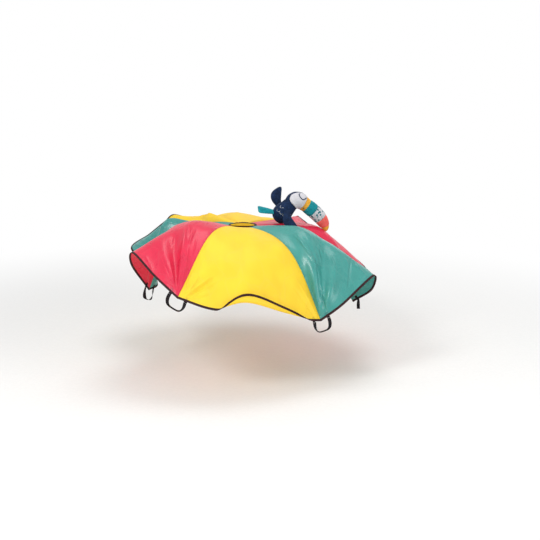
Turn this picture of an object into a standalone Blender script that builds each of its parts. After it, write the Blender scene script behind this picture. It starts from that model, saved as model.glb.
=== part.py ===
"""Play parachute, held up by its rim as children hold it, with the stuffed bird that is tossed on it.

The canopy is six gores of thin cloth, sewn round a bound vent and bound again along the hem.
Every gore is a sheet of fixed length: each line of cloth from the vent to the hem keeps the
length it was cut to, and the slack that the hands leave shows as the swell of the gore.
Webbing handles are sewn under the hem at the six seams. Metres, +Z up. The origin is the
middle of the six corners that the hands hold.
"""
import math

import bmesh
import bpy
import numpy as np
from mathutils import Matrix, Vector
from mathutils.bvhtree import BVHTree

# Canopy, as it is cut
flat_radius = 0.900          # from the middle to the hem, laid flat
vent_radius = 0.075          # of the bound hole in the middle
cloth_thickness = 0.0012
seam_gap = 0.0003            # between pieces that are sewn together
gore_count = 6
binding_width = 0.012        # of each leg of the folded tape
binding_thickness = 0.0009
binding_ease = 0.0007        # between the tape and the cloth inside it
turn_up_radius = 0.012       # of the bend where the front hem is blown up
turn_up_degrees = 165

# Handles, of flat webbing
strap_width = 0.020
strap_thickness = 0.0016
strap_lap = 0.026            # sewn length inside the hem
strap_reach = 0.009          # from the hem to where the loop starts to swing
handle_depth = 0.066         # of the loop, from its hinge line to the grip
grip_length = 0.034          # of the flat stretch in the hand

# Bird, a stuffed toucan
bird_length = 0.450          # from the end of the tail to the front of the beak
body_depth = 0.268 * bird_length    # of the body, seen from the side
body_width = 0.249 * bird_length
beak_depth = 0.202 * bird_length
beak_width = 0.162 * bird_length
patch_thickness = 0.0056 * bird_length   # of the pale cloth on the two sides of the face
crown_width = 0.050 * bird_length   # of the dark strip left between them
wing_length = 0.305 * bird_length
wing_width = 0.156 * bird_length
wing_thickness = 0.044 * bird_length
wing_root_radius = 0.0093 * bird_length  # of the seam that the wing swings on
wing_root_sink = 0.0044 * bird_length  # the body's flat facets lie this far in from its round line
tail_length = 0.218 * bird_length
tail_width = 0.125 * bird_length
tail_thickness = 0.040 * bird_length
foot_length = 0.106 * bird_length
foot_width = 0.075 * bird_length
foot_thickness = 0.056 * bird_length
bird_gap = 0.0003            # between its sewn pieces, and from it to the cloth below

# Places of the canopy in the hands, as shares of flat_radius from the middle of the corners:
# across, towards the back, and up. Then two angles in degrees, at which the cloth leaves the
# straight line from vent to hem, at the vent and at the hem, the share of its length that
# small creases take up, and the share of turn_up_reach by which the hem is turned up.
vent_place_shares = (-0.01, -0.07, 0.34)
turn_up_reach = 0.070
corner_shares = {
    "front_left": (-0.41, -0.86, 0.03, 36, 16, 0.00, 0.0),
    "front_right": (0.49, -0.62, -0.18, 38, 22, 0.01, 0.0),
    "right": (0.75, -0.05, -0.20, 28, 20, 0.04, 0.0),
    "back_right": (0.41, 0.85, 0.24, 10, 8, 0.00, 0.0),
    "back_left": (-0.585, 0.72, 0.228, 3, -12, 0.002, 0.0),
    "left": (-0.65, -0.08, -0.11, 22, 30, 0.13, 0.0),
}
hem_shares = {
    "front": (
        (-0.21, -0.90, -0.03, 38, 22, 0.01, 0.0),
        (0.00, -0.91, -0.05, 40, 30, 0.01, 1.0),
        (0.25, -0.79, -0.13, 40, 28, 0.01, 0.8),
    ),
    "front_right": (
        (0.63, -0.60, -0.08, 34, 20, 0.01, 0.0),
        (0.85, -0.39, 0.06, 26, 14, 0.00, 0.0),
        (0.86, -0.20, -0.08, 24, 16, 0.00, 0.0),
    ),
    "back_right": (
        (0.86, 0.08, -0.03, 24, 16, 0.00, 0.0),
        (0.77, 0.37, 0.04, 20, 24, 0.02, 0.0),
        (0.62, 0.62, 0.11, 16, 20, 0.03, 0.0),
    ),
    "back": (
        (0.17, 0.862, 0.175, 12, 38, 0.02, 0.0),
        (-0.09, 0.858, 0.165, 18, 52, 0.015, 0.0),
        (-0.36, 0.81, 0.217, 9, 18, 0.05, 0.0),
        (-0.52, 0.745, 0.270, 5, -6, 0.02, 0.0),
    ),
    "back_left": (
        (-0.70, 0.59, 0.150, 0, 4, 0.055, 0.0),
        (-0.81, 0.36, 0.095, 13, 26, 0.05, 0.0),
        (-0.69, 0.19, 0.010, 19, 40, 0.08, 0.0),
        (-0.60, 0.06, -0.100, 22, 56, 0.11, 0.0),
    ),
    "front_left": (
        (-0.74, -0.34, 0.12, 30, 20, 0.14, 0.0),
        (-0.71, -0.56, 0.25, 24, 14, 0.12, 0.0),
        (-0.56, -0.74, 0.14, 30, 14, 0.06, 0.0),
    ),
}
corner_names = list(corner_shares)
gore_names = list(hem_shares)
gore_colours = {
    "front": "yellow", "back": "yellow",
    "front_right": "teal", "back_left": "teal",
    "back_right": "red", "front_left": "red",
}

# Folds that the hands pull into the cloth, each from a corner of a gore: at its start or its
# end, the share of the gore's angle at which the fold runs in, its length and half width as
# shares of the cut length, and its height as a share of fold_height
fold_height = 0.022
fold_shares = {
    "front": ((0, 0.26, 0.62, 0.075, 0.7), (0, 0.52, 0.46, 0.060, -0.6), (1, 0.30, 0.60, 0.080, 0.5)),
    "front_right": ((0, 0.22, 0.85, 0.060, 1.0), (0, 0.42, 0.80, 0.055, -0.9), (0, 0.62, 0.62, 0.060, 0.8),
                    (1, 0.30, 0.70, 0.070, 0.6)),
    "back_right": ((0, 0.28, 0.80, 0.070, 0.8), (0, 0.52, 0.62, 0.065, -0.7), (1, 0.34, 0.70, 0.070, 0.7)),
    "back": ((0, 0.30, 0.60, 0.070, -0.25), (1, 0.28, 0.62, 0.070, -0.3)),
    "back_left": ((0, 0.30, 0.66, 0.070, 0.7), (1, 0.34, 0.74, 0.070, 0.8), (1, 0.60, 0.52, 0.065, -0.7)),
    "front_left": ((1, 0.22, 0.80, 0.060, 0.9), (1, 0.44, 0.74, 0.055, -0.9), (1, 0.66, 0.56, 0.060, 0.8),
                   (0, 0.32, 0.66, 0.070, 0.6)),
}

# Bird: where it sits, as shares of flat_radius, and how it lies there, resting on its belly and
# on the end of its beak
seat_shares = (0.255, 0.010)
bird_heading_degrees = 18
bird_tilt_degrees = 5.7
# Its middle line from the back of the body over the head to the end of the beak: forward and up
# as shares of bird_length, the radius as a share of the body's or the beak's depth and width, and
# the slope in degrees of the line where it passes through that section
body_line_shares = (
    (-0.079, 0.051, 0.020, 40), (-0.073, 0.057, 0.175, 40), (-0.056, 0.072, 0.318, 40),
    (-0.028, 0.097, 0.437, 40), (0.007, 0.128, 0.497, 40), (0.041, 0.158, 0.497, 40),
    (0.081, 0.190, 0.462, 39), (0.119, 0.219, 0.420, 39), (0.159, 0.251, 0.399, 38),
    (0.199, 0.284, 0.420, 22), (0.252, 0.294, 0.437, 0), (0.305, 0.278, 0.423, -23),
    (0.336, 0.245, 0.392, -40),
)
beak_line_shares = (
    (0.364, 0.218, 0.495, -43), (0.388, 0.196, 0.490, -44), (0.435, 0.152, 0.505, -45),
    (0.481, 0.106, 0.509, -47), (0.533, 0.049, 0.500, -50), (0.579, -0.015, 0.472, -57),
    (0.615, -0.082, 0.407, -65), (0.636, -0.136, 0.315, -75), (0.642, -0.173, 0.208, -86),
    (0.641, -0.199, 0.106, -93), (0.639, -0.208, 0.023, -96),
)
# Its pieces along that line, each from one row of the tables to another
neck_row, face_row = 8, 12
beak_pieces = {
    "toucan_beak_base": (12, 14, "ochre"), "toucan_beak_second": (14, 16, "teal_velour"),
    "toucan_beak_spotted": (16, 18, "white_velour"), "toucan_beak_fourth": (18, 20, "coral"),
    "toucan_beak_tip": (20, 23, "ochre"),
}
around_count = 16
# Wing, from its root outwards: distance, chord, how far forward the chord lies, and thickness,
# as shares of wing_length, wing_width, wing_width and wing_thickness
wing_shares = (
    (0.00, 0.50, 0.00, 0.43), (0.16, 0.62, -0.09, 0.75), (0.36, 0.82, -0.18, 1.00),
    (0.55, 0.98, -0.15, 1.00), (0.74, 0.98, -0.03, 0.90), (0.87, 0.80, 0.15, 0.70),
    (0.96, 0.46, 0.33, 0.45), (1.00, 0.16, 0.40, 0.20),
)
wing_row = 5.3               # of the body's line, where the wings are sewn on
wing_seat_degrees = 10       # of the root above the widest line of the body
wing_rise_degrees = {"left": 62, "right": -52}
# Tail, from inside the body backwards: distance, width and thickness
tail_shares = (
    (-0.26, 0.60, 0.60), (0.00, 0.66, 0.80), (0.30, 0.80, 1.00), (0.60, 0.92, 0.95),
    (0.86, 1.00, 0.80), (0.96, 0.92, 0.55), (1.00, 0.74, 0.25),
)
tail_rise_degrees = 18
tail_roll_degrees = 40
foot_place_shares = (0.38, 0.50, -0.78)

cut_length = flat_radius - vent_radius
gore_angle = 2 * math.pi / gore_count
hem_length = flat_radius * gore_angle

# Lines of the cloth that carry its solid, as shares of a gore's hem: the handles' straps lie
# between two of them. The rows run from the vent to the hem, closer where the hem turns up.
strap_place_share = 0.055
strap_half_share = strap_width / 2 / hem_length
edge_shares = (0, strap_place_share - strap_half_share, strap_place_share + strap_half_share)
column_shares = (*edge_shares, 0.14, 0.23, 0.32, 0.41, 0.50, 0.59, 0.68, 0.77, 0.86,
                 *(1 - share for share in reversed(edge_shares)))
main_rows = 11
turn_up_rows = 5
turned_depth = turn_up_reach + 2 * binding_width
row_depths = [cut_length, *np.linspace(cut_length - binding_width, turned_depth, main_rows)]
row_depths += [*np.linspace(turned_depth, binding_width, turn_up_rows + 1)[1:], 0.0]


def unit(vectors):
    return vectors / np.maximum(np.linalg.norm(vectors, axis=-1, keepdims=True), 1e-12)


def smooth_at(points, rows):
    """Places on a smooth curve through points, at whole or part numbers of their rows."""
    p = np.asarray(points, float)
    ends = np.vstack([2 * p[0] - p[1], p, 2 * p[-1] - p[-2]])
    k = np.clip(np.floor(rows).astype(int), 0, len(p) - 2)
    t = (np.asarray(rows) - k)[..., None]
    a, b, c, d = (ends[k + step] for step in range(4))
    return 0.5 * (2 * b + (c - a) * t + (2 * a - 5 * b + 4 * c - d) * t**2 + (3 * b - a - 3 * c + d) * t**3)


def smooth_row(points, shares):
    """Points at the given shares of the length of a smooth curve through points."""
    p = np.asarray(points, float)
    fine = smooth_at(p, np.linspace(0, len(p) - 1, 40 * (len(p) - 1) + 1))
    steps = np.linalg.norm(np.diff(fine[:, :3], axis=0), axis=1)
    along = np.concatenate([[0], np.cumsum(steps)])
    wanted = np.asarray(shares) * along[-1]
    return np.stack([np.interp(wanted, along, fine[:, k]) for k in range(p.shape[1])], -1)


def bezier(a, b, c, d, count):
    t = np.linspace(0, 1, count)[:, None, None]
    return (1 - t)**3 * a + 3 * (1 - t)**2 * t * b + 3 * (1 - t) * t**2 * c + t**3 * d


def lengths_along(curves):
    steps = np.linalg.norm(np.diff(curves, axis=0), axis=2)
    return np.vstack([np.zeros(curves.shape[1]), np.cumsum(steps, axis=0)])


def place_of(row):
    """A row of the tables with its place in metres."""
    return (*(flat_radius * share for share in row[:3]), *row[3:])


def hem_controls(gore):
    """Places of one gore's hem, corner to corner."""
    k = gore_names.index(gore)
    first, last = corner_names[k], corner_names[(k + 1) % gore_count]
    rows = (corner_shares[first], *hem_shares[gore], corner_shares[last])
    return [place_of(row) for row in rows]


def turned_up(curve, along, reach, up):
    """Cloth at row_depths on one line, with its last stretch of length reach bent upwards."""
    total = along[-1]

    def at(distance):
        return np.array([np.interp(distance, along, curve[:, k]) for k in range(3)])

    bend = at(total - reach)
    ahead = unit(bend - at(total - reach - binding_width))
    out = unit(up - ahead * np.dot(up, ahead))
    bent_length = max(reach - binding_width, 0.0)
    points = []
    for depth in row_depths:
        past = reach - depth
        if past <= 0 or bent_length == 0:
            points.append(at(total * (1 - depth / cut_length)))
            continue
        turn = min(min(past, bent_length) / turn_up_radius, math.radians(turn_up_degrees))
        rest = past - turn * turn_up_radius
        forward = turn_up_radius * math.sin(turn) + rest * math.cos(turn)
        lifted = turn_up_radius * (1 - math.cos(turn)) + rest * math.sin(turn)
        points.append(bend + ahead * forward + out * lifted)
    return np.array(points)


def fold_lift(gore, share, depth):
    """Height that the pulled folds give the cloth at one share of the hem and depth from it."""
    seam = min(share, 1 - share) * gore_angle * (flat_radius - depth)
    fade = min(1.0, seam / (2 * binding_width)) * min(1.0, max(depth - binding_width, 0) / binding_width)
    lift = 0.0
    for end, angle, length, half_width, height in fold_shares[gore]:
        turn = abs(end - share) * gore_angle
        across = (flat_radius - depth) * math.sin(turn)
        inward = flat_radius - (flat_radius - depth) * math.cos(turn)
        lean = angle * gore_angle * 1.2
        along = inward * math.cos(lean) + across * math.sin(lean)
        beside = across * math.cos(lean) - inward * math.sin(lean)
        run = along / (length * cut_length)
        if 0 < run < 1:
            width = half_width * cut_length * (0.45 + 0.9 * run)
            lift += height * fold_height * math.sin(math.pi * run**0.7) * math.exp(-(beside / width)**2)
    return lift * fade


def gore_grid(gore):
    """The middle surface of one gore: points in rows from the vent to the hem."""
    k = gore_names.index(gore)
    shares = np.array(column_shares)
    hem = smooth_row(hem_controls(gore), shares)
    ends = hem[:, :3]
    vent_lift, hem_lift = np.radians(hem[:, 3, None]), np.radians(hem[:, 4, None])
    turn = -math.pi / 2 - gore_angle / 2 + gore_angle * (k + shares)
    out = np.stack([np.cos(turn), np.sin(turn), np.zeros(len(turn))], -1)
    starts = flat_radius * np.array(vent_place_shares) + vent_radius * out
    chord = unit(ends - starts)
    side = unit(np.cross(chord, [0, 0, 1]))
    up = np.cross(side, chord)
    leave = np.cos(vent_lift) * chord + np.sin(vent_lift) * up
    arrive = np.cos(hem_lift) * chord - np.sin(hem_lift) * up
    wanted = cut_length * (1 - hem[:, 5])
    low, high = np.zeros(len(turn)), np.full(len(turn), cut_length)
    for _ in range(40):
        reach = (low + high) / 2
        curves = bezier(starts, starts + reach[:, None] * leave, ends - reach[:, None] * arrive, ends, 61)
        long = lengths_along(curves)[-1] > wanted
        high, low = np.where(long, reach, high), np.where(long, low, reach)
    along = lengths_along(curves)
    grid = np.stack([
        turned_up(curves[:, j], along[:, j], turn_up_reach * max(hem[j, 6], 0), up[j])
        for j in range(len(turn))
    ], axis=1)
    return grid


def grid_normals(grid):
    down = np.gradient(grid, axis=0)
    across = np.gradient(grid, axis=1)
    return unit(np.cross(down, across))


def make_canopy():
    """Points and normals of every gore, folded, with one normal along each shared seam."""
    grids = {gore: gore_grid(gore) for gore in gore_names}
    for gore, grid in grids.items():
        normals = grid_normals(grid)
        lifts = np.array([[fold_lift(gore, share, depth) for share in column_shares] for depth in row_depths])
        grid += normals * lifts[..., None]
    normals = {gore: grid_normals(grid) for gore, grid in grids.items()}
    for k, gore in enumerate(gore_names):
        after = gore_names[(k + 1) % gore_count]
        shared = unit(normals[gore][:, -1] + normals[after][:, 0])
        normals[gore][:, -1] = shared
        normals[after][:, 0] = shared
    return grids, normals


def new_material(name, colour, roughness, metallic=0.0):
    material = bpy.data.materials.new(name)
    material.use_nodes = True
    shader = material.node_tree.nodes["Principled BSDF"]
    shader.inputs["Base Color"].default_value = (*colour, 1)
    shader.inputs["Roughness"].default_value = roughness
    shader.inputs["Metallic"].default_value = metallic
    return material


def add_object(name, mesh, material, parent=None, origin=None):
    """One node. Its origin is moved to a world place, where given, with its mesh left in place."""
    mesh.materials.append(material)
    part = bpy.data.objects.new(name, mesh)
    bpy.context.scene.collection.objects.link(part)
    if origin is not None:
        mesh.transform(Matrix.Translation(-Vector(origin)))
        part.location = Vector(origin)
    if parent is not None:
        part.parent = parent
        part.matrix_parent_inverse = Matrix.Translation(-parent.location)
    return part


def mesh_from(name, points, faces, smooth=True):
    """A mesh of triangles, with its faces turned outwards."""
    work = bmesh.new()
    corners = [work.verts.new(point) for point in points]
    for face in faces:
        work.faces.new([corners[k] for k in face])
    bmesh.ops.recalc_face_normals(work, faces=work.faces)
    mesh = bpy.data.meshes.new(name)
    work.to_mesh(mesh)
    work.free()
    if smooth:
        mesh.shade_smooth()
        mesh.set_sharp_from_angle(angle=math.radians(35))
    return mesh


def sheet_mesh(name, grid, normals, thickness, offset=0.0):
    """A closed sheet on a grid of points: two skins, offset along the normals, and an edge."""
    rows, columns = grid.shape[:2]
    skins = [grid + normals * (offset + thickness / 2), grid + normals * (offset - thickness / 2)]
    points = np.concatenate([skin.reshape(-1, 3) for skin in skins])

    def at(skin, i, j):
        return skin * rows * columns + i * columns + j

    faces = []
    for skin in (0, 1):
        for i in range(rows - 1):
            for j in range(columns - 1):
                faces.append((at(skin, i, j), at(skin, i + 1, j), at(skin, i + 1, j + 1)))
                faces.append((at(skin, i, j), at(skin, i + 1, j + 1), at(skin, i, j + 1)))
    ring = [(i, 0) for i in range(rows)] + [(rows - 1, j) for j in range(1, columns)]
    ring += [(i, columns - 1) for i in range(rows - 2, -1, -1)] + [(0, j) for j in range(columns - 2, 0, -1)]
    for here, there in zip(ring, ring[1:] + ring[:1]):
        faces.append((at(0, *here), at(0, *there), at(1, *there)))
        faces.append((at(0, *here), at(1, *there), at(1, *here)))
    return mesh_from(name, points.tolist(), faces)


def ring_mesh(name, sections, crossed=()):
    """A closed ring of sections, each the same number of points round a closed outline.

    Faces are split along one diagonal, or on the crossed sides along the other, so that a
    piece folded over the cloth is split as the cloth is, and keeps its distance from it.
    """
    count, sides = sections.shape[:2]
    faces = []
    for i in range(count):
        after = (i + 1) % count
        for j in range(sides):
            beside = (j + 1) % sides
            a, b, c, d = (i * sides + j, after * sides + j, after * sides + beside, i * sides + beside)
            faces += [(a, b, d), (b, c, d)] if j in crossed else [(a, b, c), (a, c, d)]
    return mesh_from(name, sections.reshape(-1, 3).tolist(), faces)


def bar_mesh(name, sections):
    """A bar through sections, closed at both ends."""
    count, sides = sections.shape[:2]
    faces = []
    for i in range(count - 1):
        for j in range(sides):
            beside = (j + 1) % sides
            faces.append((i * sides + j, (i + 1) * sides + j, (i + 1) * sides + beside))
            faces.append((i * sides + j, (i + 1) * sides + beside, i * sides + beside))
    faces.append(tuple(range(sides)))
    faces.append(tuple((count - 1) * sides + j for j in range(sides)))
    return mesh_from(name, sections.reshape(-1, 3).tolist(), faces)


def add_gores(grids, normals, materials):
    """Six gores of cloth, each drawn in by half a seam gap along its two seams."""
    for gore in gore_names:
        grid = grids[gore].copy()
        grid[:, 0] += unit(grids[gore][:, 1] - grids[gore][:, 0]) * seam_gap / 2
        grid[:, -1] += unit(grids[gore][:, -2] - grids[gore][:, -1]) * seam_gap / 2
        mesh = sheet_mesh("panel_" + gore, grid, normals[gore], cloth_thickness)
        add_object("panel_" + gore, mesh, materials[gore_colours[gore]])


def binding_sections(edge, inner, edge_normals, inner_normals):
    """Sections of a tape folded over an edge: its inner skin, then its outer one."""
    outward = unit(edge - inner)
    skin = cloth_thickness / 2 + binding_ease
    outer = skin + binding_thickness
    nose = edge + outward * binding_ease
    nose_outer = nose + outward * binding_thickness
    return np.stack([
        inner + inner_normals * outer, nose_outer + edge_normals * outer,
        nose_outer - edge_normals * outer, inner - inner_normals * outer,
        inner - inner_normals * skin, nose - edge_normals * skin,
        nose + edge_normals * skin, inner + inner_normals * skin,
    ], axis=1)


def add_bindings(grids, normals, materials):
    """The tape round the hem and the one round the vent, each one closed ring."""
    # the rows of the cloth at each edge and under the tape's inner margin, and the two sides
    # of the tape's section that the diagonals of the cloth cross
    rings = {"rim_binding": (-1, -2, (2, 6)), "vent_binding": (0, 1, (0, 4))}
    for name, (edge, inside, crossed) in rings.items():
        edges = np.concatenate([grids[gore][edge, :-1] for gore in gore_names])
        inner = np.concatenate([grids[gore][inside, :-1] for gore in gore_names])
        edge_up = np.concatenate([normals[gore][edge, :-1] for gore in gore_names])
        inner_up = np.concatenate([normals[gore][inside, :-1] for gore in gore_names])
        sections = binding_sections(edges, inner, edge_up, inner_up)
        add_object(name, ring_mesh(name, sections, crossed), materials["tape"])


def strap_lines(grid, normal, side):
    """Two lines of cloth beside one end of a gore's hem, from inside the hem outwards."""
    columns = (1, 2) if side == "start" else (-3, -2)
    lines, ups = [], []
    for j in columns:
        edge, inner = grid[-1, j], grid[-2, j]
        deeper = grid[-3, j]
        past = (strap_lap - binding_width) / (row_depths[-3] - binding_width)
        lines.append([inner + (deeper - inner) * past, inner, edge,
                      edge + unit(edge - inner) * (binding_ease + 2 * binding_thickness)])
        ups.append([normal[-3, j] * past + normal[-2, j] * (1 - past), normal[-2, j],
                    normal[-1, j], normal[-1, j]])
    return np.array(lines), unit(np.array(ups))


def handle_frame(grids, normals, corner):
    """The two strap ends of one handle, and the line that its loop swings on."""
    k = corner_names.index(corner)
    here, before = gore_names[k], gore_names[k - 1]
    drop = cloth_thickness / 2 + binding_ease + binding_thickness + seam_gap + strap_thickness / 2
    ends = []
    for gore, side in ((before, "end"), (here, "start")):
        lines, ups = strap_lines(grids[gore], normals[gore], side)
        lines = lines - ups * drop
        middle = (lines[0, 2] + lines[1, 2]) / 2
        outward = unit(unit(lines[0, 2] - lines[0, 1]) + unit(lines[1, 2] - lines[1, 1]))
        up = unit(ups[0, 2] + ups[1, 2])
        ends.append({"lines": lines, "ups": ups, "tip": middle + outward * strap_reach,
                     "outward": outward, "up": up})
    axis = unit(ends[1]["tip"] - ends[0]["tip"])
    outward = ends[0]["outward"] + ends[1]["outward"]
    outward = unit(outward - axis * np.dot(outward, axis))
    offset = strap_thickness / 2 + seam_gap
    line = [end["tip"] + outward * offset for end in ends]
    down = unit(np.array([0, 0, -1]) + axis * axis[2])
    return ends, axis, line, down


def add_handles(grids, normals, materials):
    """Two sewn strap ends and one swinging loop at each corner of the hem."""
    for corner in corner_names:
        ends, axis, line, down = handle_frame(grids, normals, corner)
        for end, side in zip(ends, ("a", "b")):
            up = unit(end["up"] - axis * np.dot(end["up"], axis))
            half = axis * strap_width / 2
            tips = np.array([end["tip"] - half, end["tip"] + half])
            rows = np.concatenate([end["lines"], tips[:, None]], axis=1)
            ups = np.concatenate([end["ups"], np.tile(up, (2, 1, 1))], axis=1)
            name = f"strap_end_{corner}_{side}"
            mesh = sheet_mesh(name, rows.transpose(1, 0, 2), ups.transpose(1, 0, 2), strap_thickness)
            add_object(name, mesh, materials["webbing"])
        name = "handle_" + corner
        mesh = bar_mesh(name, loop_sections(line, axis, down))
        add_object(name, mesh, materials["webbing"], origin=(line[0] + line[1]) / 2)


def loop_sections(line, axis, down):
    """Sections of the webbing loop: it hangs flat from its ends and turns to lie flat in the hand."""
    span = np.linalg.norm(line[1] - line[0])
    middle = (line[0] + line[1]) / 2
    facing = np.cross(axis, down)
    half_grip = min(grip_length, 0.5 * span) / 2
    # half of the loop, from one end to the grip: shares of the half span and of the depth
    half_loop_shares = ((1.0, 0.0), (1.03, 0.22), (1.02, 0.48), (0.90, 0.76), (0.68, 0.93))
    route = [(-across * span / 2, deep * handle_depth) for across, deep in half_loop_shares]
    route.append((-half_grip, handle_depth))
    route = route + [(-across, deep) for across, deep in reversed(route)]
    steps = np.hypot(*np.diff(np.array(route), axis=0).T)
    along = np.concatenate([[0], np.cumsum(steps)]) / steps.sum()
    sections = []
    for k, (across, deep) in enumerate(route):
        last, after = route[max(k - 1, 0)], route[min(k + 1, len(route) - 1)]
        run = unit(np.array(after) - np.array(last))
        if k in (0, len(route) - 1):
            run = np.array([0.0, 1.0 if k == 0 else -1.0])
        ahead = axis * run[0] + down * run[1]
        beside = axis * run[1] - down * run[0]
        to_grip = min(along[k], 1 - along[k]) / along[len(route) // 2 - 1]
        turn = math.pi / 2 * (3 * to_grip**2 - 2 * to_grip**3)
        wide = beside * math.cos(turn) + facing * math.sin(turn)
        thin = np.cross(ahead, wide)
        place = middle + axis * across + down * deep
        wide, thin = wide * strap_width / 2, thin * strap_thickness / 2
        sections.append([place + wide + thin, place - wide + thin, place - wide - thin, place + wide - thin])
    return np.array(sections)


def bird_line():
    """Rows of the bird's middle line: a place, half its depth, half its width and its slope."""
    rows = []
    for table, deep, wide in ((body_line_shares, body_depth, body_width), (beak_line_shares, beak_depth, beak_width)):
        rows += [(bird_length * x, 0, bird_length * z, deep * r, wide * r, math.radians(slope))
                 for x, z, r, slope in table]
    return np.array(rows)


def bird_skin(rows, angles, grow=0.0):
    """Points on the bird at rows of its middle line, and at angles from its left side upwards."""
    rows, angles = np.broadcast_arrays(np.asarray(rows, float), np.asarray(angles, float))
    at = smooth_at(bird_line(), rows)
    ahead = np.stack([np.cos(at[..., 5]), 0 * rows, np.sin(at[..., 5])], -1)
    up = np.stack([-ahead[..., 2], 0 * rows, ahead[..., 0]], -1)
    left = np.stack([0 * rows, 0 * rows + 1, 0 * rows], -1)
    high = (np.sin(angles) * (at[..., 3] + grow))[..., None]
    wide = (np.cos(angles) * (at[..., 4] + grow))[..., None]
    return at[..., :3] + left * wide + up * high, ahead


def bird_piece(name, first, last, grow=0.0):
    """One stuffed piece of the bird's line, cut square at both ends."""
    steps = (last - first) * (2 if last > neck_row else 1)
    rows = np.linspace(first, last, steps + 1)
    angles = np.linspace(0, 2 * math.pi, around_count, endpoint=False)
    sections, ahead = bird_skin(rows[:, None], angles[None, :], grow)
    sections[0] += ahead[0] * bird_gap / 2
    sections[-1] -= ahead[-1] * bird_gap / 2
    return bar_mesh(name, sections)


def face_patch(name, side):
    """Pale cloth on one side of the head, round at the back, from under the crown to the throat.

    It is made with its inner side in the head, which then cuts it.
    """
    half_crown = crown_width / 2 / (body_depth / 2)
    angles = np.radians(np.linspace(-84, 90, 9)) - np.linspace(0, half_crown, 9)
    if side == "right":
        angles = math.pi - angles
    start = neck_row + 0.1 + 1.1 * np.linspace(-1, 1, 9)**4
    along = np.linspace(0, 1, 6)[:, None]
    rows = start + (face_row - 0.1 - start) * along
    inner, _ = bird_skin(rows, angles[None, :], -patch_thickness)
    outer, _ = bird_skin(rows, angles[None, :], bird_gap + patch_thickness)
    return sheet_mesh(name, (inner + outer) / 2, unit(outer - inner), bird_gap + 2 * patch_thickness)


def leaf_sections(table, long, wide, thick, around=10):
    """Sections of a flat stuffed piece: along +X from its root, wide in Y and thick in Z."""
    sections = []
    turn = np.linspace(0, 2 * math.pi, around, endpoint=False)
    for far, chord, shift, height in table:
        sections.append(np.stack([0 * turn + far * long, shift * wide + np.cos(turn) * chord * wide / 2,
                                  np.sin(turn) * height * thick / 2], -1))
    return np.array(sections)


def wing_frame(side):
    """Where one wing's root line lies on the bird, and the wing's outward and thickness axes."""
    turn = math.radians(wing_seat_degrees)
    at = smooth_at(bird_line(), np.array(wing_row))
    out = np.array([0, math.cos(turn), math.sin(turn)])
    reach = wing_root_radius + bird_gap - wing_root_sink
    root = at[:3] + out * reach + np.array([0, math.cos(turn) * at[4], math.sin(turn) * at[3]])
    rise = math.radians(wing_rise_degrees[side])
    mirror = np.array([1, 1 if side == "left" else -1, 1])
    outward = np.array([0, math.cos(rise), math.sin(rise)])
    normal = np.array([0, -math.sin(rise), math.cos(rise)])
    return root * mirror, outward * mirror, normal * mirror


def wing_mesh(name, side):
    root, outward, normal = wing_frame(side)
    thick = 2 * wing_root_radius / wing_thickness
    chord = wing_shares[0][1]
    seam = wing_root_radius / wing_length
    table = [(-0.95 * seam, 0.94 * chord, 0, 0.3 * thick), (-0.6 * seam, 0.98 * chord, 0, 0.8 * thick)]
    table += [row if k else (0, chord, 0, thick) for k, row in enumerate(wing_shares)]
    sections = leaf_sections(table, wing_length, wing_width, wing_thickness)
    axes = np.array([outward, [1, 0, 0], normal])
    return bar_mesh(name, root + sections @ axes)


def tail_mesh(name):
    rows = [(far, wide, 0, thick) for far, wide, thick in tail_shares]
    sections = leaf_sections(rows, tail_length, tail_width, tail_thickness)
    rise, roll = math.radians(tail_rise_degrees), math.radians(tail_roll_degrees)
    back = np.array([-math.cos(rise), 0, math.sin(rise)])
    left, top = np.array([0, 1, 0]), np.array([math.sin(rise), 0, math.cos(rise)])
    wide = left * math.cos(roll) + top * math.sin(roll)
    at = smooth_at(bird_line(), np.array(4.5))
    root = at[:3] + back * at[3]
    return bar_mesh(name, root + sections @ np.array([back, wide, np.cross(back, wide)]))


def foot_mesh(name, side):
    """A small pillow half sunk in the body, which the body then cuts."""
    at = smooth_at(bird_line(), np.array(4.5))
    place = unit(np.array(foot_place_shares)) * (at[3], at[4], at[3])
    place[1] *= 1 if side == "left" else -1
    work = bmesh.new()
    bmesh.ops.create_uvsphere(work, u_segments=12, v_segments=8, radius=0.5)
    bmesh.ops.triangulate(work, faces=work.faces)
    size = Matrix.Diagonal((foot_length, foot_width, foot_thickness, 1))
    bmesh.ops.transform(work, verts=work.verts, matrix=Matrix.Translation(Vector(at[:3] + place)) @ size)
    mesh = bpy.data.meshes.new(name)
    work.to_mesh(mesh)
    work.free()
    mesh.shade_smooth()
    mesh.set_sharp_from_angle(angle=math.radians(60))
    return mesh


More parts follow.
